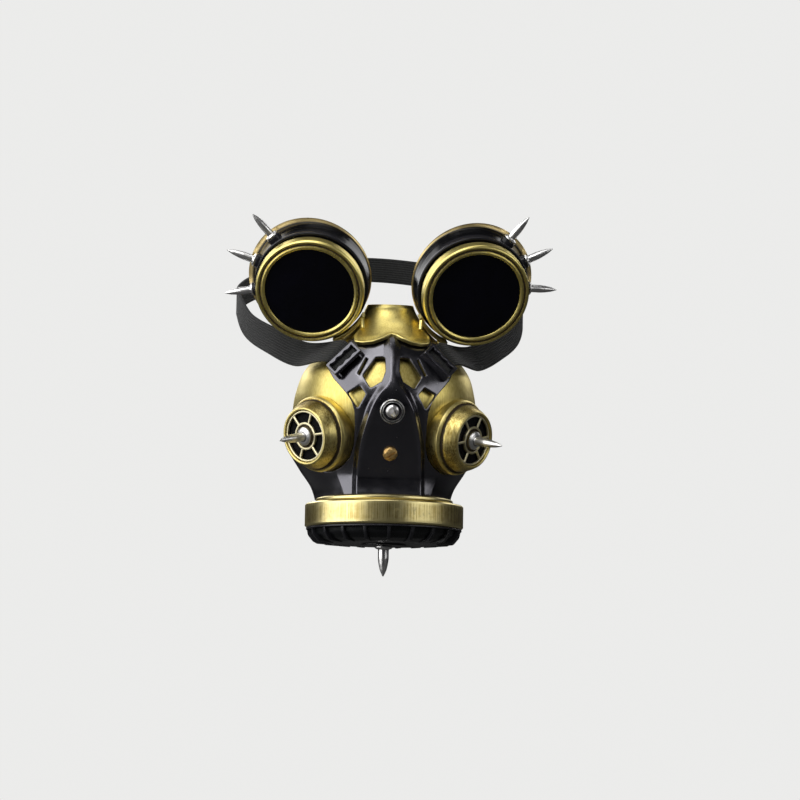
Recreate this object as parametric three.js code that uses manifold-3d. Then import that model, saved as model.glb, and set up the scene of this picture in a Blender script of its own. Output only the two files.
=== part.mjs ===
// A steampunk costume mask with goggles. A gold half mask covers nose, cheeks and chin, a black
// ridged plate with windows lies over it, gold cups with spoked grilles stand on the cheeks, a round
// canister hangs under the chin, and spiked goggles are screwed to the nose piece.
// Millimetres. +Z is up, -Y is the front, and +X is to the right seen from the front.
// The origin is where the half mask sits on the bridge of the nose.
import * as THREE from "three";
import { mergeVertices } from "three/addons/utils/BufferGeometryUtils.js";
import Module from "manifold-3d";

const wasm = await Module();
wasm.setup();

// Clearances between pieces
const SEAT = 0.3;
const FIT = 0.4;

// Half mask
const FACE_DROP = 103;
const FACE_DEPTH = 50;
const FACE_HALF_WIDTH = 51.5;
const FACE_WALL = 2;
const FLOOR_WALL = 2.4;

// Neck plane, where the canister meets the chin
const NECK_Y = 16;
const NECK_TILT = 7;

// Front plate
const PLATE_WALL = 2.2;
const PLATE_STANDOFF = 2.5;
const PLATE_HALF_WIDTH = 35.5;
const PANEL_HALF_WIDTH = 17.6;
const PANEL_RELIEF = 2.6;
const PANEL_FLANK = 2.4;
const PANEL_CROWN = 0.5;
const WRAP_LEVEL = -0.7767;

// Nose piece
const NOSE_WALL = 1.8;
const NOSE_HALF_WIDTH = 20.5;
const NOSE_DROP = 17;
const NOSE_LIFT = 6;

// Cheek cups
const CUP_SPREAD = 0.6913;
const CUP_LEVEL = -0.6456;
const CUP_OUT_ANGLE = 46;
const CUP_DOWN_ANGLE = 7;
const CUP_BASE_R = 20.8;
const CUP_STEP_R = 18.8;
const CUP_MOUTH_R = 15.8;
const CUP_LENGTH = 15.3;
const CUP_BASE_LENGTH = 6.5;
const CUP_LIP = 1.5;
const CUP_RECESS = 5;
const CUP_ROOT = 14;
const CUP_SOFT = 0.4;
const GRILLE_WALL = 1.6;
const GRILLE_SETBACK = 0.8;
const GRILLE_HUB_R = 7.6;
const GRILLE_RIM = 1.1;
const GRILLE_SPOKES = 6;
const GRILLE_TURN = 8;
const GRILLE_SPOKE_WIDTH = 1.5;
const FILTER_WALL = 1.2;

// Canister
const COLLAR_R = 38;
const COLLAR_HOLE_R = 24;
const COLLAR_HEIGHT = 2.6;
const BAND_R = 43.9;
const BAND_WALL = 2.2;
const BAND_HEIGHT = 13;
const BAND_CHAMFER = 0.8;
const BASE_HEIGHT = 8.4;
const BASE_WALL = 2.4;
const BASE_INSET = 3.2;
const BASE_RIM = 1;
const BASE_SOFT = 0.4;
const BOSS_R = 12.5;
const BOSS_HEIGHT = 0.9;
const FIN_COUNT = 20;
const FIN_WIDTH = 1.7;

// Goggles
const GOGGLE_HALF_SPACING = 45.7;
const GOGGLE_Y = -12;
const GOGGLE_Z = 9.8;
const GOGGLE_DOWN_ANGLE = 25;
const GOGGLE_OUT_ANGLE = 9;
const LENS_R = 27;
const LENS_WALL = 2;
const SIGHT_R = 24.4;
const BEZEL_R = 29.7;
const BEZEL_HEIGHT = 6.6;
const BEZEL_LIP = 1.6;
const BEZEL_SHOULDER = 1.2;
const BEZEL_GROOVE = 0.7;
const EYECUP_WALL = 2;
const EYECUP_DEPTH = 23;
const EYECUP_BACK_HALF_WIDTH = 34;
const EYECUP_BACK_HALF_HEIGHT = 34.6;
const EYECUP_BACK_SHIFT = 2.2;
const FLANGE_R = 31.2;
const FLANGE_BACK = 9;
const FLANGE_WALL = 2;
const FLANGE_STEP = 0.9;
const ARM_LEVEL = 0.55;
const ARM_START = 0.78;
const ARM_WIDTH = 5.5;
const LUG_WALL = 1.8;
const LUG_FROM = -116;
const LUG_TO = -152;
const LUG_MARGIN = 4.5;
const LUG_FRONT = 4;
const LUG_BACK = 9.5;
const LUG_HOLE_R = 1.6;

// Spikes: length over the flange, shank radius and flange radius
const GOGGLE_SPIKE = { length: 16.4, shank: 2.1, flange: 3.7, foot: 1.2 };
const CUP_SPIKE = { length: 19.5, shank: 2.4, flange: 5, foot: 1.4 };
const PANEL_SPIKE = { length: 15.5, shank: 2.5, flange: 3.6, foot: 1.3 };
const CANISTER_SPIKE = { length: 16.6, shank: 3, flange: 5, foot: 1.4 };
const GOGGLE_SPIKE_ANGLES = { left: [-10, 20, 50], right: [-1, 28, 56] };
const GOGGLE_SPIKE_BACK = 17;
const GOGGLE_SPIKE_PAD = 2.9;
const PAD_MARGIN = 0.4;
const PANEL_SPIKE_LEVEL = -0.5184;
const RING_R = 6.7;
const RING_WALL = 1.8;
const RING_HEIGHT = 1.5;
const SCREW_LEVEL = -0.7408;
const SCREW_R = 4;
const SCREW_HEIGHT = 2.6;
const SLOT_WIDTH = 1;
const GOGGLE_SCREW_R = 2.5;
const GOGGLE_SCREW_HEIGHT = 1.9;

// Strap and the loops that it is threaded through
const STRAP_WIDTH = 15.2;
const STRAP_WALL = 1.3;
const STRAP_TUCK = 1.4;
const STRAP_CREST = 0.7;
const LOOP_LEG = 1.7;
const LOOP_BAR = 1.9;
const LOOP_DEPTH = 9.4;
const LOOP_HEIGHT = 4.6;
const LOOP_BAR_HEIGHT = 2;
const LOOP_ROOT = 5;
const LOOP_OUT = 0.69;
const LOOP_BELOW = 10.3;
const LOOP_RUN = 3.5;
const LOOP_EASE = 0.6;
const LOOP_SPREAD = 5;
const HEAD_HALF_BREADTH = 83;
const HEAD_BACK = 198;
const HEAD_MIDDLE = 100;
const STRAP_UNDER = 1.8;
const STRAP_SIDE_Z = -1.5;
const STRAP_BACK_Z = 34;

// Facets
const RING_SEGMENTS = 24;
const CANISTER_SEGMENTS = 32;
const SPIKE_SEGMENTS = 8;
const SCREW_SEGMENTS = 20;
const FACE_SEGMENTS = 16;
const FACE_LEVELS = 17;
const STRAP_STEPS = 44;

// Places worked out from these: cups stand at shares of the half mask, and the loops stand at a
// share of the plate's half width, below the nose piece
const CUP_X = CUP_SPREAD * FACE_HALF_WIDTH;
const CUP_Z = CUP_LEVEL * FACE_DROP;
const LOOP_X = LOOP_OUT * PLATE_HALF_WIDTH;
const LOOP_Z = -NOSE_DROP - LOOP_BELOW;
const CHEEK_Z = GOGGLE_Z - FLANGE_R - STRAP_UNDER;

const SIDES = [
  { name: "left", sign: -1 },
  { name: "right", sign: 1 },
];

const rad = THREE.MathUtils.degToRad;

// Materials
const finish = (color, metalness, roughness) =>
  new THREE.MeshStandardMaterial({ color, metalness, roughness });
const gold = finish(0xb8953a, 0.9, 0.38);
const black = finish(0x0d0d10, 0.0, 0.14);
const silver = finish(0xc9c9cc, 1.0, 0.2);
const darkLens = finish(0x08080c, 0.0, 0.05);
const darkMesh = finish(0x121212, 0.2, 0.8);
const elastic = finish(0x1c1d1c, 0.0, 0.9);

// A closed solid from a shape, and back again.
function solidOf(geometry) {
  const bare = geometry.index ? geometry.toNonIndexed() : geometry.clone();
  for (const name of Object.keys(bare.attributes)) {
    if (name !== "position") bare.deleteAttribute(name);
  }
  const merged = mergeVertices(bare, 1e-4);
  return new wasm.Manifold(
    new wasm.Mesh({
      numProp: 3,
      vertProperties: new Float32Array(merged.attributes.position.array),
      triVerts: new Uint32Array(merged.index.array),
    }),
  );
}

function geometryOf(solid) {
  const mesh = solid.getMesh();
  const geometry = new THREE.BufferGeometry();
  geometry.setAttribute("position", new THREE.BufferAttribute(mesh.vertProperties, 3));
  geometry.setIndex(new THREE.BufferAttribute(mesh.triVerts, 1));
  geometry.computeVertexNormals();
  return geometry;
}

const moved = (solid, matrix) => solid.transform(matrix.elements);

// A closed surface through rings of points, one ring after the other, with a fan at each end.
function loft(rings) {
  const count = rings[0].length;
  const middle = (ring) =>
    ring.reduce((sum, point) => sum.add(point), new THREE.Vector3()).divideScalar(count);
  const points = [...rings.flat(), middle(rings[0]), middle(rings[rings.length - 1])];
  const first = rings.length * count;
  const last = first + 1;
  const index = [];
  for (let j = 0; j < count; j++) {
    const next = (j + 1) % count;
    index.push(first, next, j);
    index.push(last, (rings.length - 1) * count + j, (rings.length - 1) * count + next);
    for (let i = 0; i + 1 < rings.length; i++) {
      const a = i * count + j;
      const b = i * count + next;
      index.push(a, b, b + count, a, b + count, a + count);
    }
  }
  const geometry = new THREE.BufferGeometry().setFromPoints(points);
  geometry.setIndex(index);
  return geometry;
}

// The same loft as a solid, whichever way its rings run.
function loftSolid(rings) {
  const solid = solidOf(loft(rings));
  if (solid.volume() > 0) return solid;
  return solidOf(loft([...rings].reverse()));
}

// A turned piece about +Z. The profile gives radius and height, anticlockwise.
function turned(profile, segments = RING_SEGMENTS) {
  const points = profile.map(([radius, height]) => new THREE.Vector2(radius, height));
  return new THREE.LatheGeometry(points, segments).rotateX(Math.PI / 2);
}

// A turned ring, whose profile closes on itself.
const turnedRing = (profile, segments) => turned([...profile, profile[0]], segments);

// A front-view outline, points of x and z, as a block that runs through the whole depth.
const BLOCK_DEPTH = 400;
function frontBlock(points) {
  const shape = new THREE.Shape(points.map(([x, z]) => new THREE.Vector2(x, z)));
  const geometry = new THREE.ExtrudeGeometry(shape, { depth: BLOCK_DEPTH, bevelEnabled: false });
  geometry.rotateX(Math.PI / 2).translate(0, BLOCK_DEPTH / 2, 0);
  return solidOf(geometry);
}

// Half an outline from the middle line outwards, completed with its mirror image.
const mirrored = (half) => [...half, ...half.map(([x, z]) => [-x, z]).reverse()];

// Value of a table's column at a height, on a smooth curve through its rows.
function readTable(rows, column, z) {
  let i = rows.findIndex((row) => row.z < z) - 1;
  if (i < 0) i = rows[0].z < z ? 0 : rows.length - 2;
  const [a, b] = [rows[i], rows[i + 1]];
  const before = rows[Math.max(i - 1, 0)];
  const after = rows[Math.min(i + 2, rows.length - 1)];
  const step = b.z - a.z;
  const t = THREE.MathUtils.clamp((z - a.z) / step, 0, 1);
  const slopeA = (b[column] - before[column]) / (b.z - before.z || 1);
  const slopeB = (after[column] - a[column]) / (after.z - a.z || 1);
  const rise = b[column] - a[column];
  return (
    a[column] +
    t * t * (3 - 2 * t) * rise +
    t * (1 - t) * ((1 - t) * slopeA - t * slopeB) * step
  );
}

// Half mask sections. z is a share of the drop, front and rear of the depth, half of the half
// width, and gap of the plate's standoff. Between two rows the section follows a smooth curve.
const faceRows = [
  { z: 0.06, front: -0.02, half: 0.235, rear: 0.19, gap: 1 },
  { z: 0.0, front: -0.04, half: 0.29, rear: 0.24, gap: 1 },
  { z: -0.1, front: -0.14, half: 0.44, rear: 0.34, gap: 1 },
  { z: -0.19, front: -0.25, half: 0.66, rear: 0.44, gap: 1 },
  { z: -0.31, front: -0.36, half: 0.88, rear: 0.55, gap: 1 },
  { z: -0.43, front: -0.43, half: 0.97, rear: 0.66, gap: 1 },
  { z: -0.53, front: -0.42, half: 1.0, rear: 0.76, gap: 1 },
  { z: -0.64, front: -0.34, half: 1.0, rear: 0.86, gap: 1 },
  { z: -0.76, front: -0.27, half: 0.95, rear: 0.92, gap: 0.6 },
  { z: -0.86, front: -0.25, half: 0.85, rear: 0.88, gap: 0.18 },
  { z: -0.96, front: -0.3, half: 0.72, rear: 0.76, gap: 0.16 },
  { z: -1.12, front: -0.36, half: 0.64, rear: 0.6, gap: 0.16 },
];
const FULLNESS = 2.1;

function faceSection(z, offset = 0) {
  const share = z / FACE_DROP;
  return {
    front: readTable(faceRows, "front", share) * FACE_DEPTH - offset,
    half: readTable(faceRows, "half", share) * FACE_HALF_WIDTH + offset,
    rear: readTable(faceRows, "rear", share) * FACE_DEPTH,
  };
}

// One level of a shell that follows the half mask, closed straight across its open rear.
function faceRing(z, offset, overrun) {
  const { front, half, rear } = faceSection(z, offset);
  const ring = [];
  for (let k = 0; k <= FACE_SEGMENTS; k++) {
    const angle = rad(-90 + (180 * k) / FACE_SEGMENTS);
    const side = Math.sign(Math.sin(angle)) * Math.abs(Math.sin(angle)) ** (2 / FULLNESS);
    const ahead = Math.abs(Math.cos(angle)) ** (2 / FULLNESS);
    ring.push(new THREE.Vector3(half * side, rear - (rear - front) * ahead, z));
  }
  ring.push(new THREE.Vector3(half, rear + overrun, z));
  ring.push(new THREE.Vector3(-half, rear + overrun, z));
  return ring;
}

// The space that the half mask's surface encloses, grown by an offset that may follow the height.
// Every such body has its facets at the same heights, so two of them stay apart as their offsets do.
const LEVEL_STEP = (FACE_DROP * (faceRows[0].z - faceRows[faceRows.length - 1].z)) / FACE_LEVELS;
function faceBody(offsetAt, top, bottom, overrun = 0.01) {
  const levelAt = (i) => FACE_DROP * faceRows[0].z - i * LEVEL_STEP;
  const ringAt = (z) => {
    const i = Math.floor((FACE_DROP * faceRows[0].z - z) / LEVEL_STEP);
    const above = faceRing(levelAt(i), offsetAt(levelAt(i)), overrun);
    const below = faceRing(levelAt(i + 1), offsetAt(levelAt(i + 1)), overrun);
    return above.map((point, k) => point.lerp(below[k], (levelAt(i) - z) / LEVEL_STEP));
  };
  const rings = [ringAt(top)];
  for (let i = 0; i <= FACE_LEVELS; i++) {
    const z = levelAt(i);
    if (z < top - SEAT && z > bottom + SEAT) rings.push(faceRing(z, offsetAt(z), overrun));
  }
  rings.push(ringAt(bottom));
  return loftSolid(rings);
}

const standoffAt = (z) => readTable(faceRows, "gap", z / FACE_DROP) * PLATE_STANDOFF;
const plateOffset = (z) => standoffAt(z) + PLATE_WALL;

// A point of a shell over the half mask, by its place in front view.
function shellPoint(x, z, offset) {
  const { front, half, rear } = faceSection(z, offset);
  const share = Math.min(Math.abs(x) / half, 1);
  const y = rear - (rear - front) * (1 - share ** FULLNESS) ** (1 / FULLNESS);
  return new THREE.Vector3(x, y, z);
}

const PROBE = 0.5;
function shellNormal(x, z, offsetAt) {
  const at = (dx, dz) => shellPoint(x + dx, z + dz, offsetAt(z + dz));
  const across = at(PROBE, 0).sub(at(-PROBE, 0));
  const along = at(0, PROBE).sub(at(0, -PROBE));
  return across.cross(along).normalize();
}

// Neck frame: +Z runs out of the chin, down and a little forward.
const neck = new THREE.Group();
neck.position.set(0, NECK_Y, -FACE_DROP);
neck.rotation.x = Math.PI - rad(NECK_TILT);
neck.updateMatrix();

// Everything on the canister's side of the neck plane, from a height above that plane.
function belowNeck(height) {
  const block = new THREE.BoxGeometry(BLOCK_DEPTH, BLOCK_DEPTH, BLOCK_DEPTH);
  block.translate(0, 0, BLOCK_DEPTH / 2 - height);
  return moved(solidOf(block), neck.matrix);
}

const TOP = FACE_DROP * faceRows[0].z;
const BOTTOM = FACE_DROP * faceRows[faceRows.length - 1].z;

function makeFacepiece() {
  const outer = faceBody(() => 0, TOP * 0.8, BOTTOM * 0.99);
  const inner = faceBody(() => -FACE_WALL, TOP, BOTTOM, FACE_DEPTH);
  let face = outer.subtract(inner.subtract(belowNeck(FLOOR_WALL))).subtract(belowNeck(SEAT));
  for (const { sign } of SIDES) face = face.subtract(goggleRoom(sign));
  return face;
}

// Raised ridge and panel of the plate. half is a share of the panel's half width and relief of its
// relief; flank is how far the sloping side runs, a share of the flank.
const panelRows = [
  { z: -0.1, half: 0.07, relief: 0.3, flank: 1.2 },
  { z: -0.16, half: 0.07, relief: 0.6, flank: 1.4 },
  { z: -0.24, half: 0.075, relief: 0.9, flank: 1.5 },
  { z: -0.34, half: 0.08, relief: 1.0, flank: 1.5 },
  { z: -0.38, half: 0.18, relief: 1.0, flank: 1.4 },
  { z: -0.43, half: 0.4, relief: 1.0, flank: 1.2 },
  { z: -0.5, half: 0.62, relief: 1.0, flank: 1.0 },
  { z: -0.6, half: 0.8, relief: 1.0, flank: 0.9 },
  { z: -0.7, half: 0.93, relief: 0.95, flank: 0.8 },
  { z: -0.8, half: 0.98, relief: 0.8, flank: 0.8 },
  { z: -0.88, half: 1.0, relief: 0.3, flank: 0.8 },
  { z: -0.93, half: 1.0, relief: 0.0, flank: 0.8 },
];
const PANEL_LEVELS = 22;

function panelFront(z, grown = 0) {
  const relief = readTable(panelRows, "relief", z / FACE_DROP) * PANEL_RELIEF;
  return shellPoint(0, z, plateOffset(z)).y - relief - grown;
}

function panelBody(grown = 0) {
  const rings = [];
  const top = panelRows[0].z * FACE_DROP;
  const bottom = panelRows[panelRows.length - 1].z * FACE_DROP;
  for (let i = 0; i <= PANEL_LEVELS; i++) {
    const z = top + ((bottom - top) * i) / PANEL_LEVELS;
    const share = z / FACE_DROP;
    const half = readTable(panelRows, "half", share) * PANEL_HALF_WIDTH + grown;
    const foot = half + readTable(panelRows, "flank", share) * PANEL_FLANK + grown;
    const front = panelFront(z, grown);
    const root = shellPoint(foot, z, plateOffset(z)).y + PLATE_WALL / 2;
    const crown = PANEL_CROWN * Math.min(1, half / PANEL_HALF_WIDTH);
    rings.push([
      new THREE.Vector3(-foot, root, z),
      new THREE.Vector3(-foot, root - PLATE_WALL / 2 - grown, z),
      new THREE.Vector3(-half, front + crown, z),
      new THREE.Vector3(0, front, z),
      new THREE.Vector3(half, front + crown, z),
      new THREE.Vector3(foot, root - PLATE_WALL / 2 - grown, z),
      new THREE.Vector3(foot, root, z),
    ]);
  }
  return loftSolid(rings);
}

// Outlines in front view: x as a share of the plate's half width, z of the half mask's drop.
const yokeOutline = [
  [0, -0.112],
  [0.34, -0.12],
  [0.59, -0.14],
  [0.7, -0.16],
  [1.0, -0.285],
  [0.89, -0.355],
  [0.8, -0.39],
  [0.7, -0.43],
  [0.62, -0.47],
  [0.57, -0.525],
  [0.555, -0.6],
  [0.555, -0.7],
  [0.6, -0.76],
  [0.72, -0.85],
  [0, -0.9],
];
const upperWindow = [
  [0.12, -0.235],
  [0.255, -0.238],
  [0.45, -0.335],
  [0.335, -0.4],
  [0.165, -0.362],
  [0.115, -0.31],
];
const lowerWindow = [
  [0.495, -0.39],
  [0.685, -0.428],
  [0.64, -0.453],
  [0.525, -0.51],
  [0.405, -0.432],
];
const slotWindow = [
  [0.375, -0.247],
  [0.405, -0.24],
  [0.53, -0.325],
  [0.5, -0.333],
];

const onPlate = (outline, sign = 1) =>
  outline.map(([x, z]) => [sign * x * PLATE_HALF_WIDTH, z * FACE_DROP]);

// Cheek cup frames: +Z runs out of the cup's mouth, and the base stands on the half mask.
function cupFrame(sign) {
  const group = new THREE.Group();
  const out = rad(CUP_OUT_ANGLE);
  const down = rad(CUP_DOWN_ANGLE);
  const axis = new THREE.Vector3(
    sign * Math.sin(out) * Math.cos(down),
    -Math.cos(out) * Math.cos(down),
    -Math.sin(down),
  );
  group.position.copy(shellPoint(sign * CUP_X, CUP_Z, 0));
  group.up.set(0, 0, 1);
  group.lookAt(group.position.clone().add(axis));
  group.updateMatrix();
  return group;
}

function makeFrontPlate() {
  const top = yokeOutline[0][1] * FACE_DROP + PLATE_WALL;
  const inner = faceBody(standoffAt, top, BOTTOM, FACE_DEPTH);
  const shell = faceBody(plateOffset, top, BOTTOM * 0.99).add(panelBody()).subtract(inner);
  const yoke = frontBlock(mirrored(onPlate(yokeOutline)));
  const wrapHalf = FACE_HALF_WIDTH + PLATE_STANDOFF + PLATE_WALL;
  const wrapTop = WRAP_LEVEL * FACE_DROP;
  const wrap = frontBlock([
    [-wrapHalf, BOTTOM],
    [wrapHalf, BOTTOM],
    [wrapHalf, wrapTop],
    [-wrapHalf, wrapTop],
  ]);
  let plate = shell.intersect(yoke.add(wrap)).subtract(belowNeck(SEAT));
  for (const { sign } of SIDES) {
    for (const hole of [upperWindow, lowerWindow, slotWindow]) {
      plate = plate.subtract(frontBlock(onPlate(hole, sign)));
    }
    const bore = new THREE.CylinderGeometry(
      CUP_BASE_R + FIT,
      CUP_BASE_R + FIT,
      2 * (CUP_LENGTH + CUP_ROOT),
      RING_SEGMENTS,
    ).rotateX(Math.PI / 2);
    plate = plate.subtract(moved(solidOf(bore), cupFrame(sign).matrix));
  }
  return plate;
}

// Goggle frames: +Z runs out of the lens, +Y up, with the origin at the front of the bezel.
function goggleFrame(sign) {
  const group = new THREE.Group();
  const out = rad(GOGGLE_OUT_ANGLE);
  const down = rad(GOGGLE_DOWN_ANGLE);
  const axis = new THREE.Vector3(
    sign * Math.sin(out) * Math.cos(down),
    -Math.cos(out) * Math.cos(down),
    -Math.sin(down),
  );
  group.position.set(sign * GOGGLE_HALF_SPACING, GOGGLE_Y, GOGGLE_Z);
  group.up.set(0, 0, 1);
  group.lookAt(group.position.clone().add(axis));
  group.updateMatrix();
  return group;
}

// Eyecup sections behind the bezel. back is a share of the cup's depth, and out is how far the
// section has gone from the round barrel to the oval back rim.
const eyecupRows = [
  { back: 0.47, out: 0 },
  { back: 0.74, out: 0.22 },
  { back: 0.92, out: 0.46 },
  { back: 1.0, out: 1.0 },
];
const NECK_R = BEZEL_R - BEZEL_LIP - SEAT;
const BARREL_R = FLANGE_R - FLANGE_STEP;
const SPIKE_SEAT_R = BARREL_R + GOGGLE_SPIKE_PAD;
const LUG_INNER_R = Math.max(FLANGE_R, BEZEL_R) + FIT;
const LUG_OUTER_R = LUG_INNER_R + LUG_WALL;

function ovalRing(halfWidth, halfHeight, shift, height) {
  const ring = [];
  for (let k = 0; k < RING_SEGMENTS; k++) {
    const angle = (2 * Math.PI * k) / RING_SEGMENTS;
    ring.push(
      new THREE.Vector3(
        shift + halfWidth * Math.cos(angle),
        halfHeight * Math.sin(angle),
        height,
      ),
    );
  }
  return ring;
}

const mix = (from, to, share) => from + (to - from) * share;

function barrelRings(sign, inset) {
  return eyecupRows.map(({ back, out }) =>
    ovalRing(
      mix(BARREL_R, EYECUP_BACK_HALF_WIDTH, out) - inset,
      mix(BARREL_R, EYECUP_BACK_HALF_HEIGHT, out) - inset,
      sign * EYECUP_BACK_SHIFT * out,
      -back * EYECUP_DEPTH,
    ),
  );
}

const LENS_BACK = BEZEL_LIP + SEAT + LENS_WALL + SEAT;

function makeEyecup(sign) {
  const round = (radius, height) => ovalRing(radius, radius, 0, -height);
  const neckPart = loftSolid([round(NECK_R, LENS_BACK), round(NECK_R, FLANGE_BACK + 1)]);
  const flange = loftSolid([
    round(FLANGE_R - 0.5, FLANGE_BACK),
    round(FLANGE_R, FLANGE_BACK + 0.5),
    round(FLANGE_R, FLANGE_BACK + FLANGE_WALL - 0.5),
    round(FLANGE_R - 0.5, FLANGE_BACK + FLANGE_WALL),
  ]);
  let barrel = loftSolid([round(BARREL_R, FLANGE_BACK + 1), ...barrelRings(sign, 0)]);
  for (const degrees of GOGGLE_SPIKE_ANGLES[sign > 0 ? "right" : "left"]) {
    const height = GOGGLE_SPIKE_PAD + EYECUP_WALL;
    const radius = GOGGLE_SPIKE.flange + PAD_MARGIN;
    const pad = new THREE.CylinderGeometry(radius, radius, height, SPIKE_SEGMENTS);
    pad.rotateX(Math.PI / 2).translate(0, 0, -height / 2);
    const room = new THREE.CylinderGeometry(radius, radius, GOGGLE_SPIKE.length, SPIKE_SEGMENTS);
    room.rotateX(Math.PI / 2).translate(0, 0, GOGGLE_SPIKE.length / 2);
    const seat = spikeSeat(sign, degrees, 0).matrix;
    barrel = barrel.add(moved(solidOf(pad), seat)).subtract(moved(solidOf(room), seat));
  }
  const bore = barrelRings(sign, EYECUP_WALL);
  const end = bore[bore.length - 1].map((p) => p.clone().setZ(p.z - 1));
  const hollow = loftSolid([round(SIGHT_R, 0), round(SIGHT_R, FLANGE_BACK), ...bore, end]);
  return neckPart.add(flange).add(barrel).subtract(hollow);
}

// Where a spike stands on the eyecup, in the goggle's own frame: +Z runs out along the spike.
function spikeSeat(sign, degrees, gap) {
  const angle = rad(sign > 0 ? degrees : 180 - degrees);
  const out = new THREE.Vector3(Math.cos(angle), Math.sin(angle), 0);
  const group = new THREE.Group();
  group.position.copy(out).multiplyScalar(SPIKE_SEAT_R + gap);
  group.position.z = -GOGGLE_SPIKE_BACK;
  group.quaternion.setFromUnitVectors(new THREE.Vector3(0, 0, 1), out);
  group.updateMatrix();
  return group;
}

// The room that the eyecup, its bezel and a clearance take, for cutting what lies beside it.
function eyecupRoom(sign) {
  const round = (radius, height) => ovalRing(radius, radius, 0, -height);
  const grown = barrelRings(sign, -FIT);
  const behind = grown[grown.length - 1].map((p) => p.clone().setZ(p.z - FIT));
  const front = loftSolid([
    round(LUG_INNER_R, -BEZEL_HEIGHT),
    round(LUG_INNER_R, FLANGE_BACK + FLANGE_WALL + FIT),
  ]);
  const barrel = loftSolid([round(BARREL_R + FIT, 1), ...grown, behind]);
  return front.add(barrel);
}

// The lug under the eyecup: a short arc about the cup's own axis, grown by a clearance if asked.
function lugArc(sign, grown = 0) {
  const shape = new THREE.Shape();
  const from = rad(sign > 0 ? LUG_TO : 180 - LUG_FROM - LUG_MARGIN);
  const to = rad(sign > 0 ? LUG_FROM + LUG_MARGIN : 180 - LUG_TO);
  shape.absarc(0, 0, LUG_OUTER_R + grown, from, to, false);
  shape.absarc(0, 0, LUG_INNER_R - grown, to, from, true);
  const arc = new THREE.ExtrudeGeometry(shape, {
    depth: LUG_BACK - LUG_FRONT + 2 * grown,
    bevelEnabled: false,
    curveSegments: 8,
  }).translate(0, 0, -LUG_BACK - grown);
  return solidOf(arc);
}

// The lug with the hole for its screw.
function makeLug(sign) {
  const hole = new THREE.CylinderGeometry(LUG_HOLE_R, LUG_HOLE_R, 4 * LUG_WALL, SPIKE_SEGMENTS);
  const place = screwSeat(sign);
  return lugArc(sign).subtract(moved(solidOf(hole.rotateX(Math.PI / 2)), place.matrix));
}

// The room that a goggle with its lug, arm and screw needs in the half mask and the plate.
function goggleRoom(sign) {
  const radius = GOGGLE_SCREW_R + FIT;
  const height = LUG_WALL + GOGGLE_SCREW_HEIGHT + FIT;
  const head = new THREE.CylinderGeometry(radius, radius, height, RING_SEGMENTS);
  head.rotateX(Math.PI / 2).translate(0, 0, height / 2 - LUG_WALL);
  const room = lugArc(sign, SEAT).add(moved(solidOf(head), screwSeat(sign).matrix));
  return moved(room.add(eyecupRoom(sign)), goggleFrame(sign).matrix).add(makeArm(sign, SEAT));
}

// Where the goggle screw sits in the goggle's own frame: +Z runs out through the lug.
function screwSeat(sign) {
  const angle = rad(sign > 0 ? LUG_FROM : 180 - LUG_FROM);
  const group = new THREE.Group();
  const out = new THREE.Vector3(Math.cos(angle), Math.sin(angle), 0);
  group.position.copy(out).multiplyScalar(LUG_OUTER_R);
  group.position.z = -(LUG_FRONT + LUG_BACK) / 2;
  group.up.set(0, 0, 1);
  group.lookAt(group.position.clone().add(out));
  group.updateMatrix();
  return group;
}

// Nose piece: how far it stands off the half mask, a share of its lift, by share of its drop.
const noseRows = [
  { z: 0.4, lift: 0.0 },
  { z: 0.0, lift: 0.02 },
  { z: -0.35, lift: 0.2 },
  { z: -0.6, lift: 0.62 },
  { z: -0.8, lift: 1.0 },
  { z: -1.1, lift: 1.12 },
];
// Its outline in front view: x as a share of its half width, z of its drop.
const noseOutline = [
  [0, 0.235],
  [0.36, 0.225],
  [0.55, 0.14],
  [0.72, -0.1],
  [0.86, -0.5],
  [1.02, -0.78],
  [1.0, -0.97],
  [0.78, -1.0],
  [0.52, -0.96],
  [0.26, -0.84],
  [0.1, -0.73],
  [0, -0.7],
];

const noseLift = (z) => SEAT + readTable(noseRows, "lift", z / NOSE_DROP) * NOSE_LIFT;

// The arm between the nose piece's lower corner and the lug beside it, grown if asked.
function makeArm(sign, grown = 0) {
  const z = -ARM_LEVEL * NOSE_DROP;
  const start = shellPoint(sign * ARM_START * NOSE_HALF_WIDTH, z, noseLift(z) + NOSE_WALL / 2);
  const angle = rad(sign > 0 ? LUG_TO + LUG_MARGIN : 180 - LUG_TO - LUG_MARGIN);
  const reach = LUG_INNER_R + LUG_WALL / 2;
  const middle = -(LUG_FRONT + LUG_BACK) / 2;
  const end = new THREE.Vector3(reach * Math.cos(angle), reach * Math.sin(angle), middle);
  end.applyMatrix4(goggleFrame(sign).matrix);
  const along = end.clone().sub(start).normalize();
  const thick = along.clone().cross(new THREE.Vector3(0, 0, 1)).normalize();
  const high = thick.clone().cross(along);
  const corners = [
    [1, 1],
    [1, -1],
    [-1, -1],
    [-1, 1],
  ];
  const ring = (point) =>
    corners.map(([a, b]) =>
      point
        .clone()
        .addScaledVector(high, a * (ARM_WIDTH / 2 + grown))
        .addScaledVector(thick, b * (NOSE_WALL / 2 + grown)),
    );
  return loftSolid([ring(start), ring(end)]);
}

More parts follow.
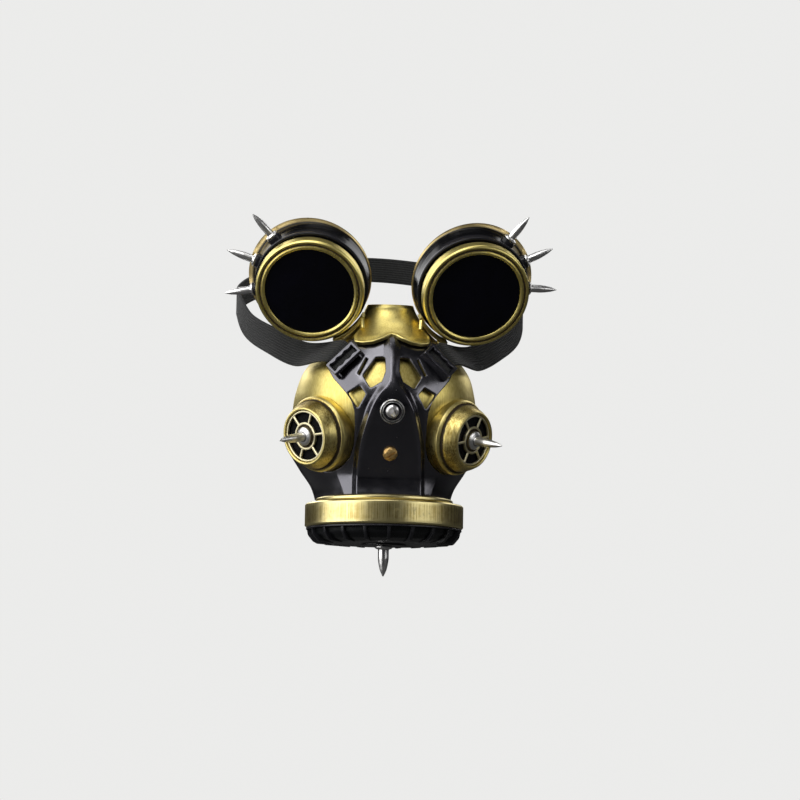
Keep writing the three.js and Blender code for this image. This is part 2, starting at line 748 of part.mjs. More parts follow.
function makeNosePiece() {
  const top = noseRows[0].z * NOSE_DROP;
  const bottom = noseRows[noseRows.length - 1].z * NOSE_DROP;
  const outer = faceBody((z) => noseLift(z) + NOSE_WALL, Math.min(top, TOP), bottom);
  const inner = faceBody(noseLift, TOP * 1.05, bottom * 1.05, FACE_DEPTH);
  const outline = noseOutline.map(([x, z]) => [x * NOSE_HALF_WIDTH, z * NOSE_DROP]);
  let piece = outer.subtract(inner).intersect(frontBlock(mirrored(outline)));
  const plateTop = yokeOutline[0][1] * FACE_DROP + SEAT;
  const plate = faceBody((z) => plateOffset(z) + SEAT, plateTop, bottom * 1.2);
  const face = faceBody(() => SEAT, TOP, bottom * 2);
  piece = piece.subtract(plate).subtract(panelBody(SEAT)).subtract(face);
  for (const { sign } of SIDES) {
    const frame = goggleFrame(sign).matrix;
    piece = piece.add(moved(makeLug(sign), frame)).add(makeArm(sign));
    piece = piece.subtract(moved(eyecupRoom(sign), frame));
  }
  return piece;
}

// The outline of a cheek cup, from its root inside the half mask to its mouth.
function makeCup(sign) {
  const frame = cupFrame(sign);
  const step = CUP_BASE_LENGTH;
  const body = turned([
    [0, -CUP_ROOT],
    [CUP_BASE_R, -CUP_ROOT],
    [CUP_BASE_R, step - CUP_SOFT * 3],
    [CUP_BASE_R - CUP_SOFT * 1.75, step],
    [CUP_STEP_R, step + CUP_SOFT],
    [CUP_STEP_R - CUP_SOFT, mix(step, CUP_LENGTH, 0.295)],
    [mix(CUP_STEP_R, CUP_MOUTH_R, 0.55), mix(step, CUP_LENGTH, 0.66)],
    [CUP_MOUTH_R, CUP_LENGTH - CUP_SOFT],
    [CUP_MOUTH_R - CUP_SOFT, CUP_LENGTH],
    [CUP_MOUTH_R - CUP_LIP, CUP_LENGTH],
    [CUP_MOUTH_R - CUP_LIP, CUP_LENGTH - CUP_RECESS],
    [0, CUP_LENGTH - CUP_RECESS],
  ]);
  const room = faceBody(() => SEAT, 0, BOTTOM, FACE_DEPTH);
  const cut = moved(room, frame.matrix.clone().invert());
  return solidOf(body).subtract(cut);
}

// Grille: a rim, a hub and spokes, with the openings between them cut through.
function makeGrille() {
  const rim = CUP_MOUTH_R - CUP_LIP - SEAT;
  const arc = (radius, from, to, steps) => {
    const points = [];
    for (let i = 0; i <= steps; i++) {
      const angle = mix(from, to, i / steps);
      points.push(new THREE.Vector2(radius * Math.cos(angle), radius * Math.sin(angle)));
    }
    return points;
  };
  const shape = new THREE.Shape(arc(rim, 0, 2 * Math.PI, RING_SEGMENTS).slice(0, -1));
  for (let k = 0; k < GRILLE_SPOKES; k++) {
    const centre = (2 * Math.PI * (k + 0.5)) / GRILLE_SPOKES + rad(GRILLE_TURN);
    const reach = Math.PI / GRILLE_SPOKES;
    const half = GRILLE_SPOKE_WIDTH / 2;
    const far = rim - GRILLE_RIM;
    const outerAngle = reach - Math.asin(half / far);
    const innerAngle = reach - Math.asin(half / GRILLE_HUB_R);
    const hole = new THREE.Path([
      ...arc(far, centre - outerAngle, centre + outerAngle, 4),
      ...arc(GRILLE_HUB_R, centre + innerAngle, centre - innerAngle, 3),
    ]);
    shape.holes.push(hole);
  }
  return new THREE.ExtrudeGeometry(shape, {
    depth: GRILLE_WALL,
    bevelEnabled: false,
  });
}

// A screwed-on spike about +Z: a flange, a shank and a long point.
function makeSpike({ length, shank, flange, foot }) {
  return turned(
    [
      [0, 0],
      [flange, 0],
      [flange, foot * 0.6],
      [flange * 0.8, foot],
      [shank, foot + 0.4],
      [shank, length * 0.5],
      [shank * 0.62, length * 0.8],
      [0, length],
    ],
    SPIKE_SEGMENTS,
  );
}

// Canister base: a hollow dish under the band with fins round its edge and a boss in the middle.
function makeCanisterBase() {
  const top = COLLAR_HEIGHT + BAND_HEIGHT + 2 * SEAT;
  const core = BAND_R - BASE_INSET;
  const low = top + BASE_HEIGHT;
  const dish = turnedRing(
    [
      [core + BASE_INSET - BAND_CHAMFER, top],
      [core + BASE_INSET - BAND_CHAMFER, top + BASE_RIM],
      [core, top + BASE_RIM + BASE_SOFT],
      [core * 0.985, top + BASE_HEIGHT * 0.45],
      [core * 0.9, top + BASE_HEIGHT * 0.82],
      [core * 0.76, low],
      [BOSS_R, low],
      [BOSS_R, low + BOSS_HEIGHT],
      [0, low + BOSS_HEIGHT],
      [0, low - BASE_WALL],
      [core * 0.74, low - BASE_WALL],
      [core * 0.88, top + BASE_HEIGHT * 0.5],
      [core - BASE_WALL, top],
    ],
    2 * FIN_COUNT,
  );
  let base = solidOf(dish);
  const edge = BAND_R - BAND_CHAMFER;
  const fin = new THREE.Shape([
    new THREE.Vector2(core - BASE_WALL / 2, top + SEAT),
    new THREE.Vector2(edge - SEAT, top + SEAT),
    new THREE.Vector2(edge * 0.975, top + BASE_HEIGHT * 0.5),
    new THREE.Vector2(edge * 0.9, low - SEAT),
    new THREE.Vector2(core * 0.74, low + BOSS_HEIGHT / 2),
    new THREE.Vector2(core * 0.72, low - BASE_WALL / 2),
  ]);
  const plate = new THREE.ExtrudeGeometry(fin, { depth: FIN_WIDTH, bevelEnabled: false });
  plate.translate(0, 0, -FIN_WIDTH / 2).rotateX(Math.PI / 2);
  const blade = solidOf(plate);
  for (let k = 0; k < FIN_COUNT; k++) {
    base = base.add(blade.rotate([0, 0, 90 + (360 * k) / FIN_COUNT]));
  }
  return base;
}

function makeBand() {
  const top = COLLAR_HEIGHT + SEAT;
  const low = top + BAND_HEIGHT;
  const hole = COLLAR_HOLE_R;
  return turnedRing(
    [
      [BAND_R - BAND_CHAMFER, top],
      [BAND_R, top + BAND_CHAMFER],
      [BAND_R, low - BAND_CHAMFER],
      [BAND_R - BAND_CHAMFER, low],
      [BAND_R - BAND_WALL, low],
      [BAND_R - BAND_WALL, top + BAND_WALL],
      [hole, top + BAND_WALL],
      [hole, top],
    ],
    CANISTER_SEGMENTS,
  );
}

function makeCollar() {
  return turnedRing(
    [
      [COLLAR_R - 0.5, 0],
      [COLLAR_R, 0.5],
      [COLLAR_R, COLLAR_HEIGHT - 0.9],
      [COLLAR_R - 0.7, COLLAR_HEIGHT],
      [COLLAR_HOLE_R, COLLAR_HEIGHT],
      [COLLAR_HOLE_R, 0],
    ],
    CANISTER_SEGMENTS,
  );
}

// Bezel: two rounded ridges with a groove between them, and a skirt over the eyecup's neck.
function makeBezel() {
  const span = BEZEL_R - SIGHT_R;
  const skirt = BEZEL_R - BEZEL_LIP;
  return turnedRing([
    [skirt, -BEZEL_LIP],
    [skirt, -BEZEL_HEIGHT],
    [BEZEL_R, -BEZEL_HEIGHT],
    [BEZEL_R, -BEZEL_SHOULDER],
    [SIGHT_R + span * 0.78, -BEZEL_GROOVE * 0.286],
    [SIGHT_R + span * 0.5, -BEZEL_GROOVE],
    [SIGHT_R + span * 0.24, 0],
    [SIGHT_R, -BEZEL_LIP / 2],
    [SIGHT_R, -BEZEL_LIP],
  ]);
}

function makeLens() {
  const front = -BEZEL_LIP - SEAT;
  return turned([
    [0, front - LENS_WALL],
    [LENS_R, front - LENS_WALL],
    [LENS_R, front],
    [0, front],
  ]);
}

// Strap loop frames: +Z stands off the plate, +X runs along the strap's width.
function loopFrame(sign) {
  const spot = shellPoint(sign * LOOP_X, LOOP_Z, plateOffset(LOOP_Z));
  const normal = shellNormal(sign * LOOP_X, LOOP_Z, plateOffset);
  const at = (dx, dz) =>
    shellPoint(sign * (LOOP_X + dx), LOOP_Z + dz, plateOffset(LOOP_Z + dz));
  const along = at(LOOP_SPREAD, -LOOP_SPREAD).sub(at(-LOOP_SPREAD, LOOP_SPREAD));
  along.addScaledVector(normal, -along.dot(normal)).normalize();
  const out = normal.clone().cross(along);
  const matrix = new THREE.Matrix4().makeBasis(along, out, normal);
  matrix.setPosition(spot.addScaledVector(normal, SEAT));
  return matrix;
}

// A strap loop: two legs that stand on the plate and two bars that bridge the strap.
function makeLoop(sign) {
  const long = STRAP_WIDTH + 2 * (FIT + LOOP_LEG);
  const block = (width, depth, low, high, x, y) => {
    const box = new THREE.BoxGeometry(width, depth, high - low);
    return solidOf(box.translate(x, y, (low + high) / 2));
  };
  const legX = (long - LOOP_LEG) / 2;
  const barY = (LOOP_DEPTH - LOOP_BAR) / 2;
  const barLow = LOOP_HEIGHT - LOOP_BAR_HEIGHT;
  const frame = block(LOOP_LEG, LOOP_DEPTH, -LOOP_ROOT, LOOP_HEIGHT, -legX, 0)
    .add(block(LOOP_LEG, LOOP_DEPTH, -LOOP_ROOT, LOOP_HEIGHT, legX, 0))
    .add(block(long, LOOP_BAR, barLow, LOOP_HEIGHT, 0, -barY))
    .add(block(long, LOOP_BAR, barLow, LOOP_HEIGHT, 0, barY));
  const room = faceBody((z) => plateOffset(z) + SEAT, yokeOutline[0][1] * FACE_DROP, BOTTOM);
  return frame.subtract(moved(room, loopFrame(sign).clone().invert()));
}

// The strap across the cheek: out is a share of the head's half breadth, back of the depth of its
// middle, and up of the height at which the strap passes under the goggles.
const cheekRows = [
  { out: 0.58, back: 0.2, up: 1.0 },
  { out: 0.76, back: 0.4, up: 0.69 },
  { out: 0.92, back: 0.65, up: 0.3 },
];

// The strap's middle line, from under one loop round the back of the head to the other.
function strapLine() {
  const loop = loopFrame(1);
  const inLoop = (y, z) => new THREE.Vector3(0, y, z).applyMatrix4(loop);
  const rise = STRAP_WALL / 2 + FIT;
  const breadth = HEAD_HALF_BREADTH + STRAP_WALL / 2;
  const points = [
    inLoop(-LOOP_DEPTH / 2 + STRAP_TUCK, rise),
    inLoop(0, rise + STRAP_CREST),
    inLoop(LOOP_DEPTH / 2, rise),
    inLoop(LOOP_DEPTH / 2 + LOOP_RUN, rise + LOOP_EASE),
  ];
  for (const { out, back, up } of cheekRows) {
    points.push(new THREE.Vector3(out * breadth, back * HEAD_MIDDLE, up * CHEEK_Z));
  }
  for (const degrees of [-8, 10, 30, 50, 70, 90]) {
    const angle = rad(degrees);
    const gone = THREE.MathUtils.smoothstep(degrees, -45, 90);
    points.push(
      new THREE.Vector3(
        breadth * Math.cos(angle),
        HEAD_MIDDLE + (HEAD_BACK - HEAD_MIDDLE) * Math.sin(angle),
        mix(STRAP_SIDE_Z, STRAP_BACK_Z, gone),
      ),
    );
  }
  const other = points.slice(0, -1).map((p) => new THREE.Vector3(-p.x, p.y, p.z));
  return new THREE.CatmullRomCurve3([...points, ...other.reverse()], false, "centripetal");
}

// The strap as one band, flat in its loops and upright round the head.
function makeStrap() {
  const line = strapLine();
  const loop = loopFrame(1);
  const alongLoop = new THREE.Vector3().setFromMatrixColumn(loop, 0);
  const corners = [
    [1, 1],
    [1, -1],
    [-1, -1],
    [-1, 1],
  ];
  const rings = [];
  for (let i = 0; i <= STRAP_STEPS / 2; i++) {
    const t = (i / (STRAP_STEPS / 2)) ** 1.15 / 2;
    const point = line.getPointAt(t);
    const tangent = line.getTangentAt(t);
    const turn = THREE.MathUtils.smoothstep(t, 0.03, 0.18);
    const wide = alongLoop.clone().lerp(new THREE.Vector3(0, 0, -1), turn);
    wide.addScaledVector(tangent, -wide.dot(tangent)).normalize();
    const thick = tangent.clone().cross(wide).normalize();
    rings.push(
      corners.map(([a, b]) =>
        point
          .clone()
          .addScaledVector(wide, (a * STRAP_WIDTH) / 2)
          .addScaledVector(thick, (b * STRAP_WALL) / 2),
      ),
    );
  }
  const mirror = (ring) => ring.map((p) => new THREE.Vector3(-p.x, p.y, p.z));
  return loftSolid([...rings, ...rings.slice(0, -1).map(mirror).reverse()]);
}

// Assembly
const mask = new THREE.Group();

function addPiece(name, shape, material, parent = mask) {
  const geometry = shape.isBufferGeometry ? shape : geometryOf(shape);
  const mesh = new THREE.Mesh(geometry, material);
  mesh.name = name;
  parent.add(mesh);
  return mesh;
}

// A group on a surface, whose +Z points the way given, for pieces that stand on it.
function standOn(point, direction) {
  const group = new THREE.Group();
  group.position.copy(point);
  group.up.set(0, 0, 1);
  group.lookAt(point.clone().add(direction));
  mask.add(group);
  return group;
}

addPiece("facepiece", makeFacepiece(), gold);
addPiece("front_plate", makeFrontPlate(), black);
addPiece("nose_piece", makeNosePiece(), gold);

for (const { name, sign } of SIDES) {
  const cup = cupFrame(sign);
  mask.add(cup);
  addPiece(`cheek_cup_${name}`, makeCup(sign), gold, cup);
  const grille = addPiece(`grille_${name}`, makeGrille(), gold, cup);
  grille.position.z = CUP_LENGTH - GRILLE_SETBACK - GRILLE_WALL;
  const filter = addPiece(
    `filter_${name}`,
    new THREE.CylinderGeometry(
      CUP_MOUTH_R - CUP_LIP - SEAT,
      CUP_MOUTH_R - CUP_LIP - SEAT,
      FILTER_WALL,
      RING_SEGMENTS,
    ).rotateX(Math.PI / 2),
    darkMesh,
    cup,
  );
  filter.position.z = grille.position.z - SEAT - FILTER_WALL / 2;
  const spike = addPiece(`cup_spike_${name}`, makeSpike(CUP_SPIKE), silver, cup);
  spike.position.z = CUP_LENGTH - GRILLE_SETBACK + SEAT;

  const loop = addPiece(`strap_loop_${name}`, makeLoop(sign), black);
  loop.applyMatrix4(loopFrame(sign));

  const goggle = goggleFrame(sign);
  mask.add(goggle);
  addPiece(`eyecup_${name}`, makeEyecup(sign), black, goggle);
  addPiece(`bezel_${name}`, makeBezel(), gold, goggle);
  addPiece(`lens_${name}`, makeLens(), darkLens, goggle);
  GOGGLE_SPIKE_ANGLES[name].forEach((degrees, k) => {
    const group = spikeSeat(sign, degrees, SEAT);
    goggle.add(group);
    addPiece(`goggle_spike_${name}_${k + 1}`, makeSpike(GOGGLE_SPIKE), silver, group);
  });
  const screw = screwSeat(sign);
  goggle.add(screw);
  addPiece(
    `goggle_screw_${name}`,
    turned(
      [
        [0, -LUG_WALL],
        [LUG_HOLE_R - SEAT, -LUG_WALL],
        [LUG_HOLE_R - SEAT, SEAT],
        [GOGGLE_SCREW_R, SEAT],
        [GOGGLE_SCREW_R, GOGGLE_SCREW_HEIGHT * 0.5],
        [GOGGLE_SCREW_R * 0.7, GOGGLE_SCREW_HEIGHT],
        [0, GOGGLE_SCREW_HEIGHT],
      ],
      SPIKE_SEGMENTS,
    ),
    silver,
    screw,
  );
}

// What stands on the middle of the panel, square to it
function panelSpot(z) {
  const point = new THREE.Vector3(0, panelFront(z), z);
  const above = panelFront(z + PROBE);
  const below = panelFront(z - PROBE);
  const normal = new THREE.Vector3(0, -2 * PROBE, above - below).normalize();
  return standOn(point.addScaledVector(normal, SEAT), normal);
}

const spikeSpot = panelSpot(PANEL_SPIKE_LEVEL * FACE_DROP);
addPiece("panel_spike", makeSpike(PANEL_SPIKE), silver, spikeSpot);
addPiece(
  "panel_ring",
  turnedRing(
    [
      [RING_R - RING_WALL, 0],
      [RING_R, 0],
      [RING_R, RING_HEIGHT * 0.6],
      [RING_R - RING_WALL * 0.3, RING_HEIGHT],
      [RING_R - RING_WALL * 0.7, RING_HEIGHT],
      [RING_R - RING_WALL, RING_HEIGHT * 0.6],
    ],
    RING_SEGMENTS,
  ),
  silver,
  spikeSpot,
);

const screwSpot = panelSpot(SCREW_LEVEL * FACE_DROP);
const head = solidOf(
  turned(
    [
      [0, 0],
      [SCREW_R, 0],
      [SCREW_R, SCREW_HEIGHT * 0.35],
      [SCREW_R * 0.82, SCREW_HEIGHT * 0.75],
      [SCREW_R * 0.45, SCREW_HEIGHT],
      [0, SCREW_HEIGHT],
    ],
    SCREW_SEGMENTS,
  ),
);
const slot = new THREE.BoxGeometry(2.2 * SCREW_R, SLOT_WIDTH, SCREW_HEIGHT);
slot.translate(0, 0, SCREW_HEIGHT * 1.1).rotateZ(rad(35));
addPiece("panel_screw", head.subtract(solidOf(slot)), gold, screwSpot);

mask.add(neck);
addPiece("canister_collar", makeCollar(), gold, neck);
addPiece("canister_band", makeBand(), gold, neck);
addPiece("canister_base", makeCanisterBase(), black, neck);
const tip = addPiece("canister_spike", makeSpike(CANISTER_SPIKE), silver, neck);
tip.position.z = COLLAR_HEIGHT + BAND_HEIGHT + BASE_HEIGHT + BOSS_HEIGHT + 3 * SEAT;

addPiece("head_strap", makeStrap(), elastic);

export default mask;
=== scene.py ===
import math
from functools import lru_cache

import bmesh
import bpy
import numpy as np
from mathutils import Matrix, Vector, kdtree
from mathutils.geometry import delaunay_2d_cdt


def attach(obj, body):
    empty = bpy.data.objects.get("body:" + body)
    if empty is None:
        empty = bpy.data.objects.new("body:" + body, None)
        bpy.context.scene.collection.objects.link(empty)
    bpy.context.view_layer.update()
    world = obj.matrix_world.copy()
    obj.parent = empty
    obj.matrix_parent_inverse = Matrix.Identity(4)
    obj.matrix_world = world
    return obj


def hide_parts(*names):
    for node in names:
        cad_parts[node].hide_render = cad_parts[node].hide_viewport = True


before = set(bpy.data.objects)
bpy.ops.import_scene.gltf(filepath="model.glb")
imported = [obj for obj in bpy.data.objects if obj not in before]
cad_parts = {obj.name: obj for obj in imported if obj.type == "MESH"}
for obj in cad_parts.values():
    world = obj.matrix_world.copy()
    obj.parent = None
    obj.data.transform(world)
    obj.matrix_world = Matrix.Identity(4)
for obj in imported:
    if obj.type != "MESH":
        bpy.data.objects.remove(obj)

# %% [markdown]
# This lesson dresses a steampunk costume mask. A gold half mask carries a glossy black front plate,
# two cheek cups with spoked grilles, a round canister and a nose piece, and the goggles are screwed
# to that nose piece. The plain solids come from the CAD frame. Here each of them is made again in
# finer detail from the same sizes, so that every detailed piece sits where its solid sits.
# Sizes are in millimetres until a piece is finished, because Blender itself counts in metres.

MM = 0.001
rad = math.radians
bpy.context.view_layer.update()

# %% [markdown]
# The camera comes first. The mask was photographed from a little more than a metre away with a
# longish lens, a touch from its right, and the camera was tipped by a degree and a half. A real
# camera is described by its distance, angle and focal length, and Blender takes the same three.

# %% Camera
PICTURE = 800
FOCAL_LENGTH = 2417
LENS_AXIS = (389.6, 399.2)
SENSOR = 36
CAMERA_DISTANCE = 1320
CAMERA_AZIMUTH = rad(-4)
CAMERA_ROLL = rad(1.5)
TARGET = Vector((0, -5, -47))


def make_camera():
    """A camera at the photograph's angle. Its lens is set from a focal length in pixels."""
    data = bpy.data.cameras.new("camera")
    data.sensor_width = SENSOR
    data.lens = FOCAL_LENGTH / PICTURE * SENSOR
    data.shift_x = (PICTURE / 2 - LENS_AXIS[0]) / PICTURE
    data.shift_y = (LENS_AXIS[1] - PICTURE / 2) / PICTURE
    data.clip_start, data.clip_end = 0.05, 50
    back = Vector((math.sin(CAMERA_AZIMUTH), -math.cos(CAMERA_AZIMUTH), 0))
    right = Vector((math.cos(CAMERA_AZIMUTH), math.sin(CAMERA_AZIMUTH), 0))
    upright = Matrix((right, Vector((0, 0, 1)), back)).transposed()
    camera = bpy.data.objects.new("camera", data)
    camera.matrix_world = (
        Matrix.Translation((TARGET + back * CAMERA_DISTANCE) * MM)
        @ upright.to_4x4()
        @ Matrix.Rotation(CAMERA_ROLL, 4, "Z")
    )
    bpy.context.collection.objects.link(camera)
    return camera


bpy.context.scene.camera = make_camera()
print("lens, mm:", round(bpy.context.scene.camera.data.lens, 1))

# %% [markdown]
# A studio is mostly what the object reflects. Gold and chrome need dark between the bright
# patches, or they turn to grey plastic, so the room is dim and a few large soft lights stand
# round the mask. The background that shows is pale, as the floor is, and it is kept
# out of the reflections.

# %% Studio
FLOOR_HEIGHT = -0.36
FLOOR_SIZE = 12
PALE = (0.88, 0.88, 0.87, 1)
ROOM_GLOW = 0.95
ROOM_DIM = 0.04
FLOOR_GREY = (0.05, 0.05, 0.05, 1)
MASK_MIDDLE = Vector((0, 0, -0.05))

# Each light stands at an azimuth, an elevation and a distance in metres.
LIGHTS = [
    dict(name="window_left", stands=(-70, 20, 1.3), size=(1.6, 1.7), watts=18),
    dict(name="window_right", stands=(58, 16, 1.3), size=(1.15, 0.5), watts=2.8),
    dict(name="above_left", stands=(-20, 48, 1.35), size=(0.7, 0.75), watts=5),
    dict(name="overhead", stands=(0, 89, 1.35), size=(0.9, 0.6), watts=3),
    dict(name="back_left", stands=(-150, 25, 1.4), size=(0.7, 0.9), watts=5.5),
    dict(name="back_right", stands=(140, 25, 1.4), size=(0.5, 0.9), watts=2.5),
]


def around(azimuth, elevation, distance):
    """A place round the mask. Azimuth 0 is straight in front, and it grows towards +X."""
    flat = math.cos(rad(elevation)) * distance
    height = math.sin(rad(elevation)) * distance
    return Vector((math.sin(rad(azimuth)) * flat, -math.cos(rad(azimuth)) * flat, height)) + MASK_MIDDLE


def light(name, place, size, power):
    """A soft rectangular light that faces the mask. Size is its width and height in metres."""
    data = bpy.data.lights.new(name, "AREA")
    data.shape = "RECTANGLE"
    data.size, data.size_y = size
    data.energy = power
    lamp = bpy.data.objects.new(name, data)
    lamp.location = place
    lamp.rotation_euler = (MASK_MIDDLE - place).to_track_quat("-Z", "Y").to_euler()
    bpy.context.collection.objects.link(lamp)
    return lamp


def make_floor_paint():
    """Pale to the camera, like the room behind it, and a dim grey in the mask's reflections."""
    paint = bpy.data.materials.new("pale_floor")
    paint.use_nodes = True
    tree = paint.node_tree
    matt = tree.nodes["Principled BSDF"]
    matt.inputs["Base Color"].default_value = FLOOR_GREY
    matt.inputs["Roughness"].default_value = 0.9
    glow = tree.nodes.new("ShaderNodeEmission")
    glow.inputs["Color"].default_value = PALE
    glow.inputs["Strength"].default_value = ROOM_GLOW
    choice = tree.nodes.new("ShaderNodeMixShader")
    seen = tree.nodes.new("ShaderNodeLightPath")
    tree.links.new(seen.outputs["Is Camera Ray"], choice.inputs["Fac"])
    tree.links.new(matt.outputs[0], choice.inputs[1])
    tree.links.new(glow.outputs[0], choice.inputs[2])
    tree.links.new(choice.outputs[0], tree.nodes["Material Output"].inputs["Surface"])
    return paint


def make_studio():
    """A pale floor, a room that looks pale and lights dimly, and the soft lights."""
    world = bpy.data.worlds.new("studio_room")
    world.use_nodes = True
    tree = world.node_tree
    tree.nodes.clear()
    seen = tree.nodes.new("ShaderNodeLightPath")
    pale = tree.nodes.new("ShaderNodeBackground")
    dim = tree.nodes.new("ShaderNodeBackground")
    pale.inputs["Color"].default_value = PALE
    pale.inputs["Strength"].default_value = ROOM_GLOW
    dim.inputs["Color"].default_value = (0.86, 0.88, 0.92, 1)
    dim.inputs["Strength"].default_value = ROOM_DIM
    choice = tree.nodes.new("ShaderNodeMixShader")
    out = tree.nodes.new("ShaderNodeOutputWorld")
    tree.links.new(seen.outputs["Is Camera Ray"], choice.inputs["Fac"])
    tree.links.new(dim.outputs[0], choice.inputs[1])
    tree.links.new(pale.outputs[0], choice.inputs[2])
    tree.links.new(choice.outputs[0], out.inputs["Surface"])
    bpy.context.scene.world = world

    mesh = bpy.data.meshes.new("floor")
    half = FLOOR_SIZE / 2
    corners = [(-half, -half), (half, -half), (half, half), (-half, half)]
    mesh.from_pydata([(x, y, FLOOR_HEIGHT) for x, y in corners], [], [(0, 1, 2, 3)])
    floor = bpy.data.objects.new("floor", mesh)
    bpy.context.collection.objects.link(floor)
    mesh.materials.append(make_floor_paint())

    for row in LIGHTS:
        light(row["name"], around(*row["stands"]), row["size"], row["watts"])


make_studio()
bpy.context.scene.view_settings.view_transform = "Standard"

# %% [markdown]
# The mask's shells all follow one shape, a half mask whose level sections change from the bridge
# of the nose down to the chin. A short table says how far forward, how wide and how far back each
# section reaches, and a smooth curve joins its rows. Any shell is then this shape grown by an
# offset, which is how the black plate can stand at a constant distance from the gold.

# %% The half mask's form
SEAT = 0.3
FIT = 0.4
FACE_DROP = 103
FACE_DEPTH = 50
FACE_HALF_WIDTH = 51.5
FACE_WALL = 2
FLOOR_WALL = 2.4
FULLNESS = 2.1
PLATE_WALL = 2.2
PLATE_STANDOFF = 2.5

FACE_ROWS = [
    dict(z=0.06, front=-0.02, half=0.235, rear=0.19, gap=1.0),
    dict(z=0.0, front=-0.04, half=0.29, rear=0.24, gap=1.0),
    dict(z=-0.1, front=-0.14, half=0.44, rear=0.34, gap=1.0),
    dict(z=-0.19, front=-0.25, half=0.66, rear=0.44, gap=1.0),
    dict(z=-0.31, front=-0.36, half=0.88, rear=0.55, gap=1.0),
    dict(z=-0.43, front=-0.43, half=0.97, rear=0.66, gap=1.0),
    dict(z=-0.53, front=-0.42, half=1.0, rear=0.76, gap=1.0),
    dict(z=-0.64, front=-0.34, half=1.0, rear=0.86, gap=1.0),
    dict(z=-0.76, front=-0.27, half=0.95, rear=0.92, gap=0.6),
    dict(z=-0.86, front=-0.25, half=0.85, rear=0.88, gap=0.18),
    dict(z=-0.96, front=-0.3, half=0.72, rear=0.76, gap=0.16),
    dict(z=-1.12, front=-0.36, half=0.64, rear=0.6, gap=0.16),
]


def mix(a, b, share):
    return a + (b - a) * share


def smooth_step(value, low, high):
    t = min(max((value - low) / (high - low), 0), 1)
    return t * t * (3 - 2 * t)


def read_table(rows, column, z):
    """Value of a table's column at a height, on a smooth curve through its rows."""
    i = next((k for k, row in enumerate(rows) if row["z"] < z), len(rows) - 1) - 1
    i = min(max(i, 0), len(rows) - 2)
    a, b = rows[i], rows[i + 1]
    before, after = rows[max(i - 1, 0)], rows[min(i + 2, len(rows) - 1)]
    step = b["z"] - a["z"]
    t = min(max((z - a["z"]) / step, 0), 1)
    slope_a = (b[column] - before[column]) / ((b["z"] - before["z"]) or 1)
    slope_b = (after[column] - a[column]) / (after["z"] - a["z"])
    rise = b[column] - a[column]
    bend = t * (1 - t) * ((1 - t) * slope_a - t * slope_b) * step
    return a[column] + t * t * (3 - 2 * t) * rise + bend


@lru_cache(maxsize=None)
def face_section(z):
    """Front, half width, rear and the plate's standoff of the half mask at a height."""
    share = z / FACE_DROP
    return (
        read_table(FACE_ROWS, "front", share) * FACE_DEPTH,
        read_table(FACE_ROWS, "half", share) * FACE_HALF_WIDTH,
        read_table(FACE_ROWS, "rear", share) * FACE_DEPTH,
        read_table(FACE_ROWS, "gap", share) * PLATE_STANDOFF,
    )


def plate_offset(z):
    return face_section(z)[3] + PLATE_WALL


def shell_point(x, z, offset):
    """A point of a shell over the half mask, by its place in front view."""
    front, half, rear, _ = face_section(z)
    share = min(abs(x) / (half + offset), 1)
    ahead = (1 - share**FULLNESS) ** (1 / FULLNESS)
    return Vector((x, rear - (rear - front + offset) * ahead, z))


def shell_normal(x, z, offset_at, probe=0.5):
    """The way out of a shell, at a place in front view."""
    across = shell_point(x + probe, z, offset_at(z)) - shell_point(x - probe, z, offset_at(z))
    over = shell_point(x, z + probe, offset_at(z + probe))
    under = shell_point(x, z - probe, offset_at(z - probe))
    return across.cross(over - under).normalized()


print("half mask at the cheeks, mm:", [round(v, 1) for v in face_section(-60)])

# %% [markdown]
# Near its side edges the half mask runs straight back, so a place in front view no longer says
# where on it a point lies. Its pattern is therefore drawn on the shell itself, unrolled like
# a paper label: one axis goes round the section and the other one down. An outline drawn in front
# view is carried over to this label before it is cut.

# %% Front view and the unrolled shell
UNROLL = 52


def to_label(x, z, offset):
    """From front view to the unrolled shell."""
    half = face_section(z)[1] + offset
    share = min(abs(x) / half, 1)
    return (math.copysign(math.asin(share ** (FULLNESS / 2)), x) * UNROLL, z)


def from_label(s, z, offset):
    """From the unrolled shell to a point in space."""
    front, half, rear, _ = face_section(z)
    turn = min(max(s / UNROLL, -math.pi / 2), math.pi / 2)
    side = math.copysign(abs(math.sin(turn)) ** (2 / FULLNESS), turn)
    ahead = abs(math.cos(turn)) ** (2 / FULLNESS)
    return Vector(((half + offset) * side, rear - (rear - front + offset) * ahead, z))


SIDE = UNROLL * math.pi / 2
print("label half width, mm:", round(SIDE, 1))

# %% [markdown]
# Frames say where a piece stands and which way it points. The cups look outwards from the
# cheeks, the goggles look a little down and outwards, and the canister hangs on a neck plane
# that is tipped a few degrees. A four by four matrix holds such a frame.

# %% Frames
NECK_Y = 16
NECK_TILT = 7
CUP_X = 0.6913 * FACE_HALF_WIDTH
CUP_Z = -0.6456 * FACE_DROP
CUP_OUT = 46
CUP_DOWN = 7
GOGGLE_SPOT = (45.7, -12, 9.8)
GOGGLE_DOWN = 25
GOGGLE_OUT = 9
SIDES = {"left": -1, "right": 1}


def aimed(spot, axis, up=(0, 0, 1)):
    """A frame at a spot whose +Z runs along an axis, as upright as it can be."""
    z = Vector(axis).normalized()
    x = Vector(up).cross(z).normalized()
    frame_matrix = Matrix((x, z.cross(x), z)).transposed().to_4x4()
    frame_matrix.translation = Vector(spot)
    return frame_matrix


def outward(sign, out, down):
    """A direction that looks forwards, turned outwards and down by degrees."""
    out, down = rad(out), rad(down)
    flat = math.cos(down)
    return Vector((sign * math.sin(out) * flat, -math.cos(out) * flat, -math.sin(down)))


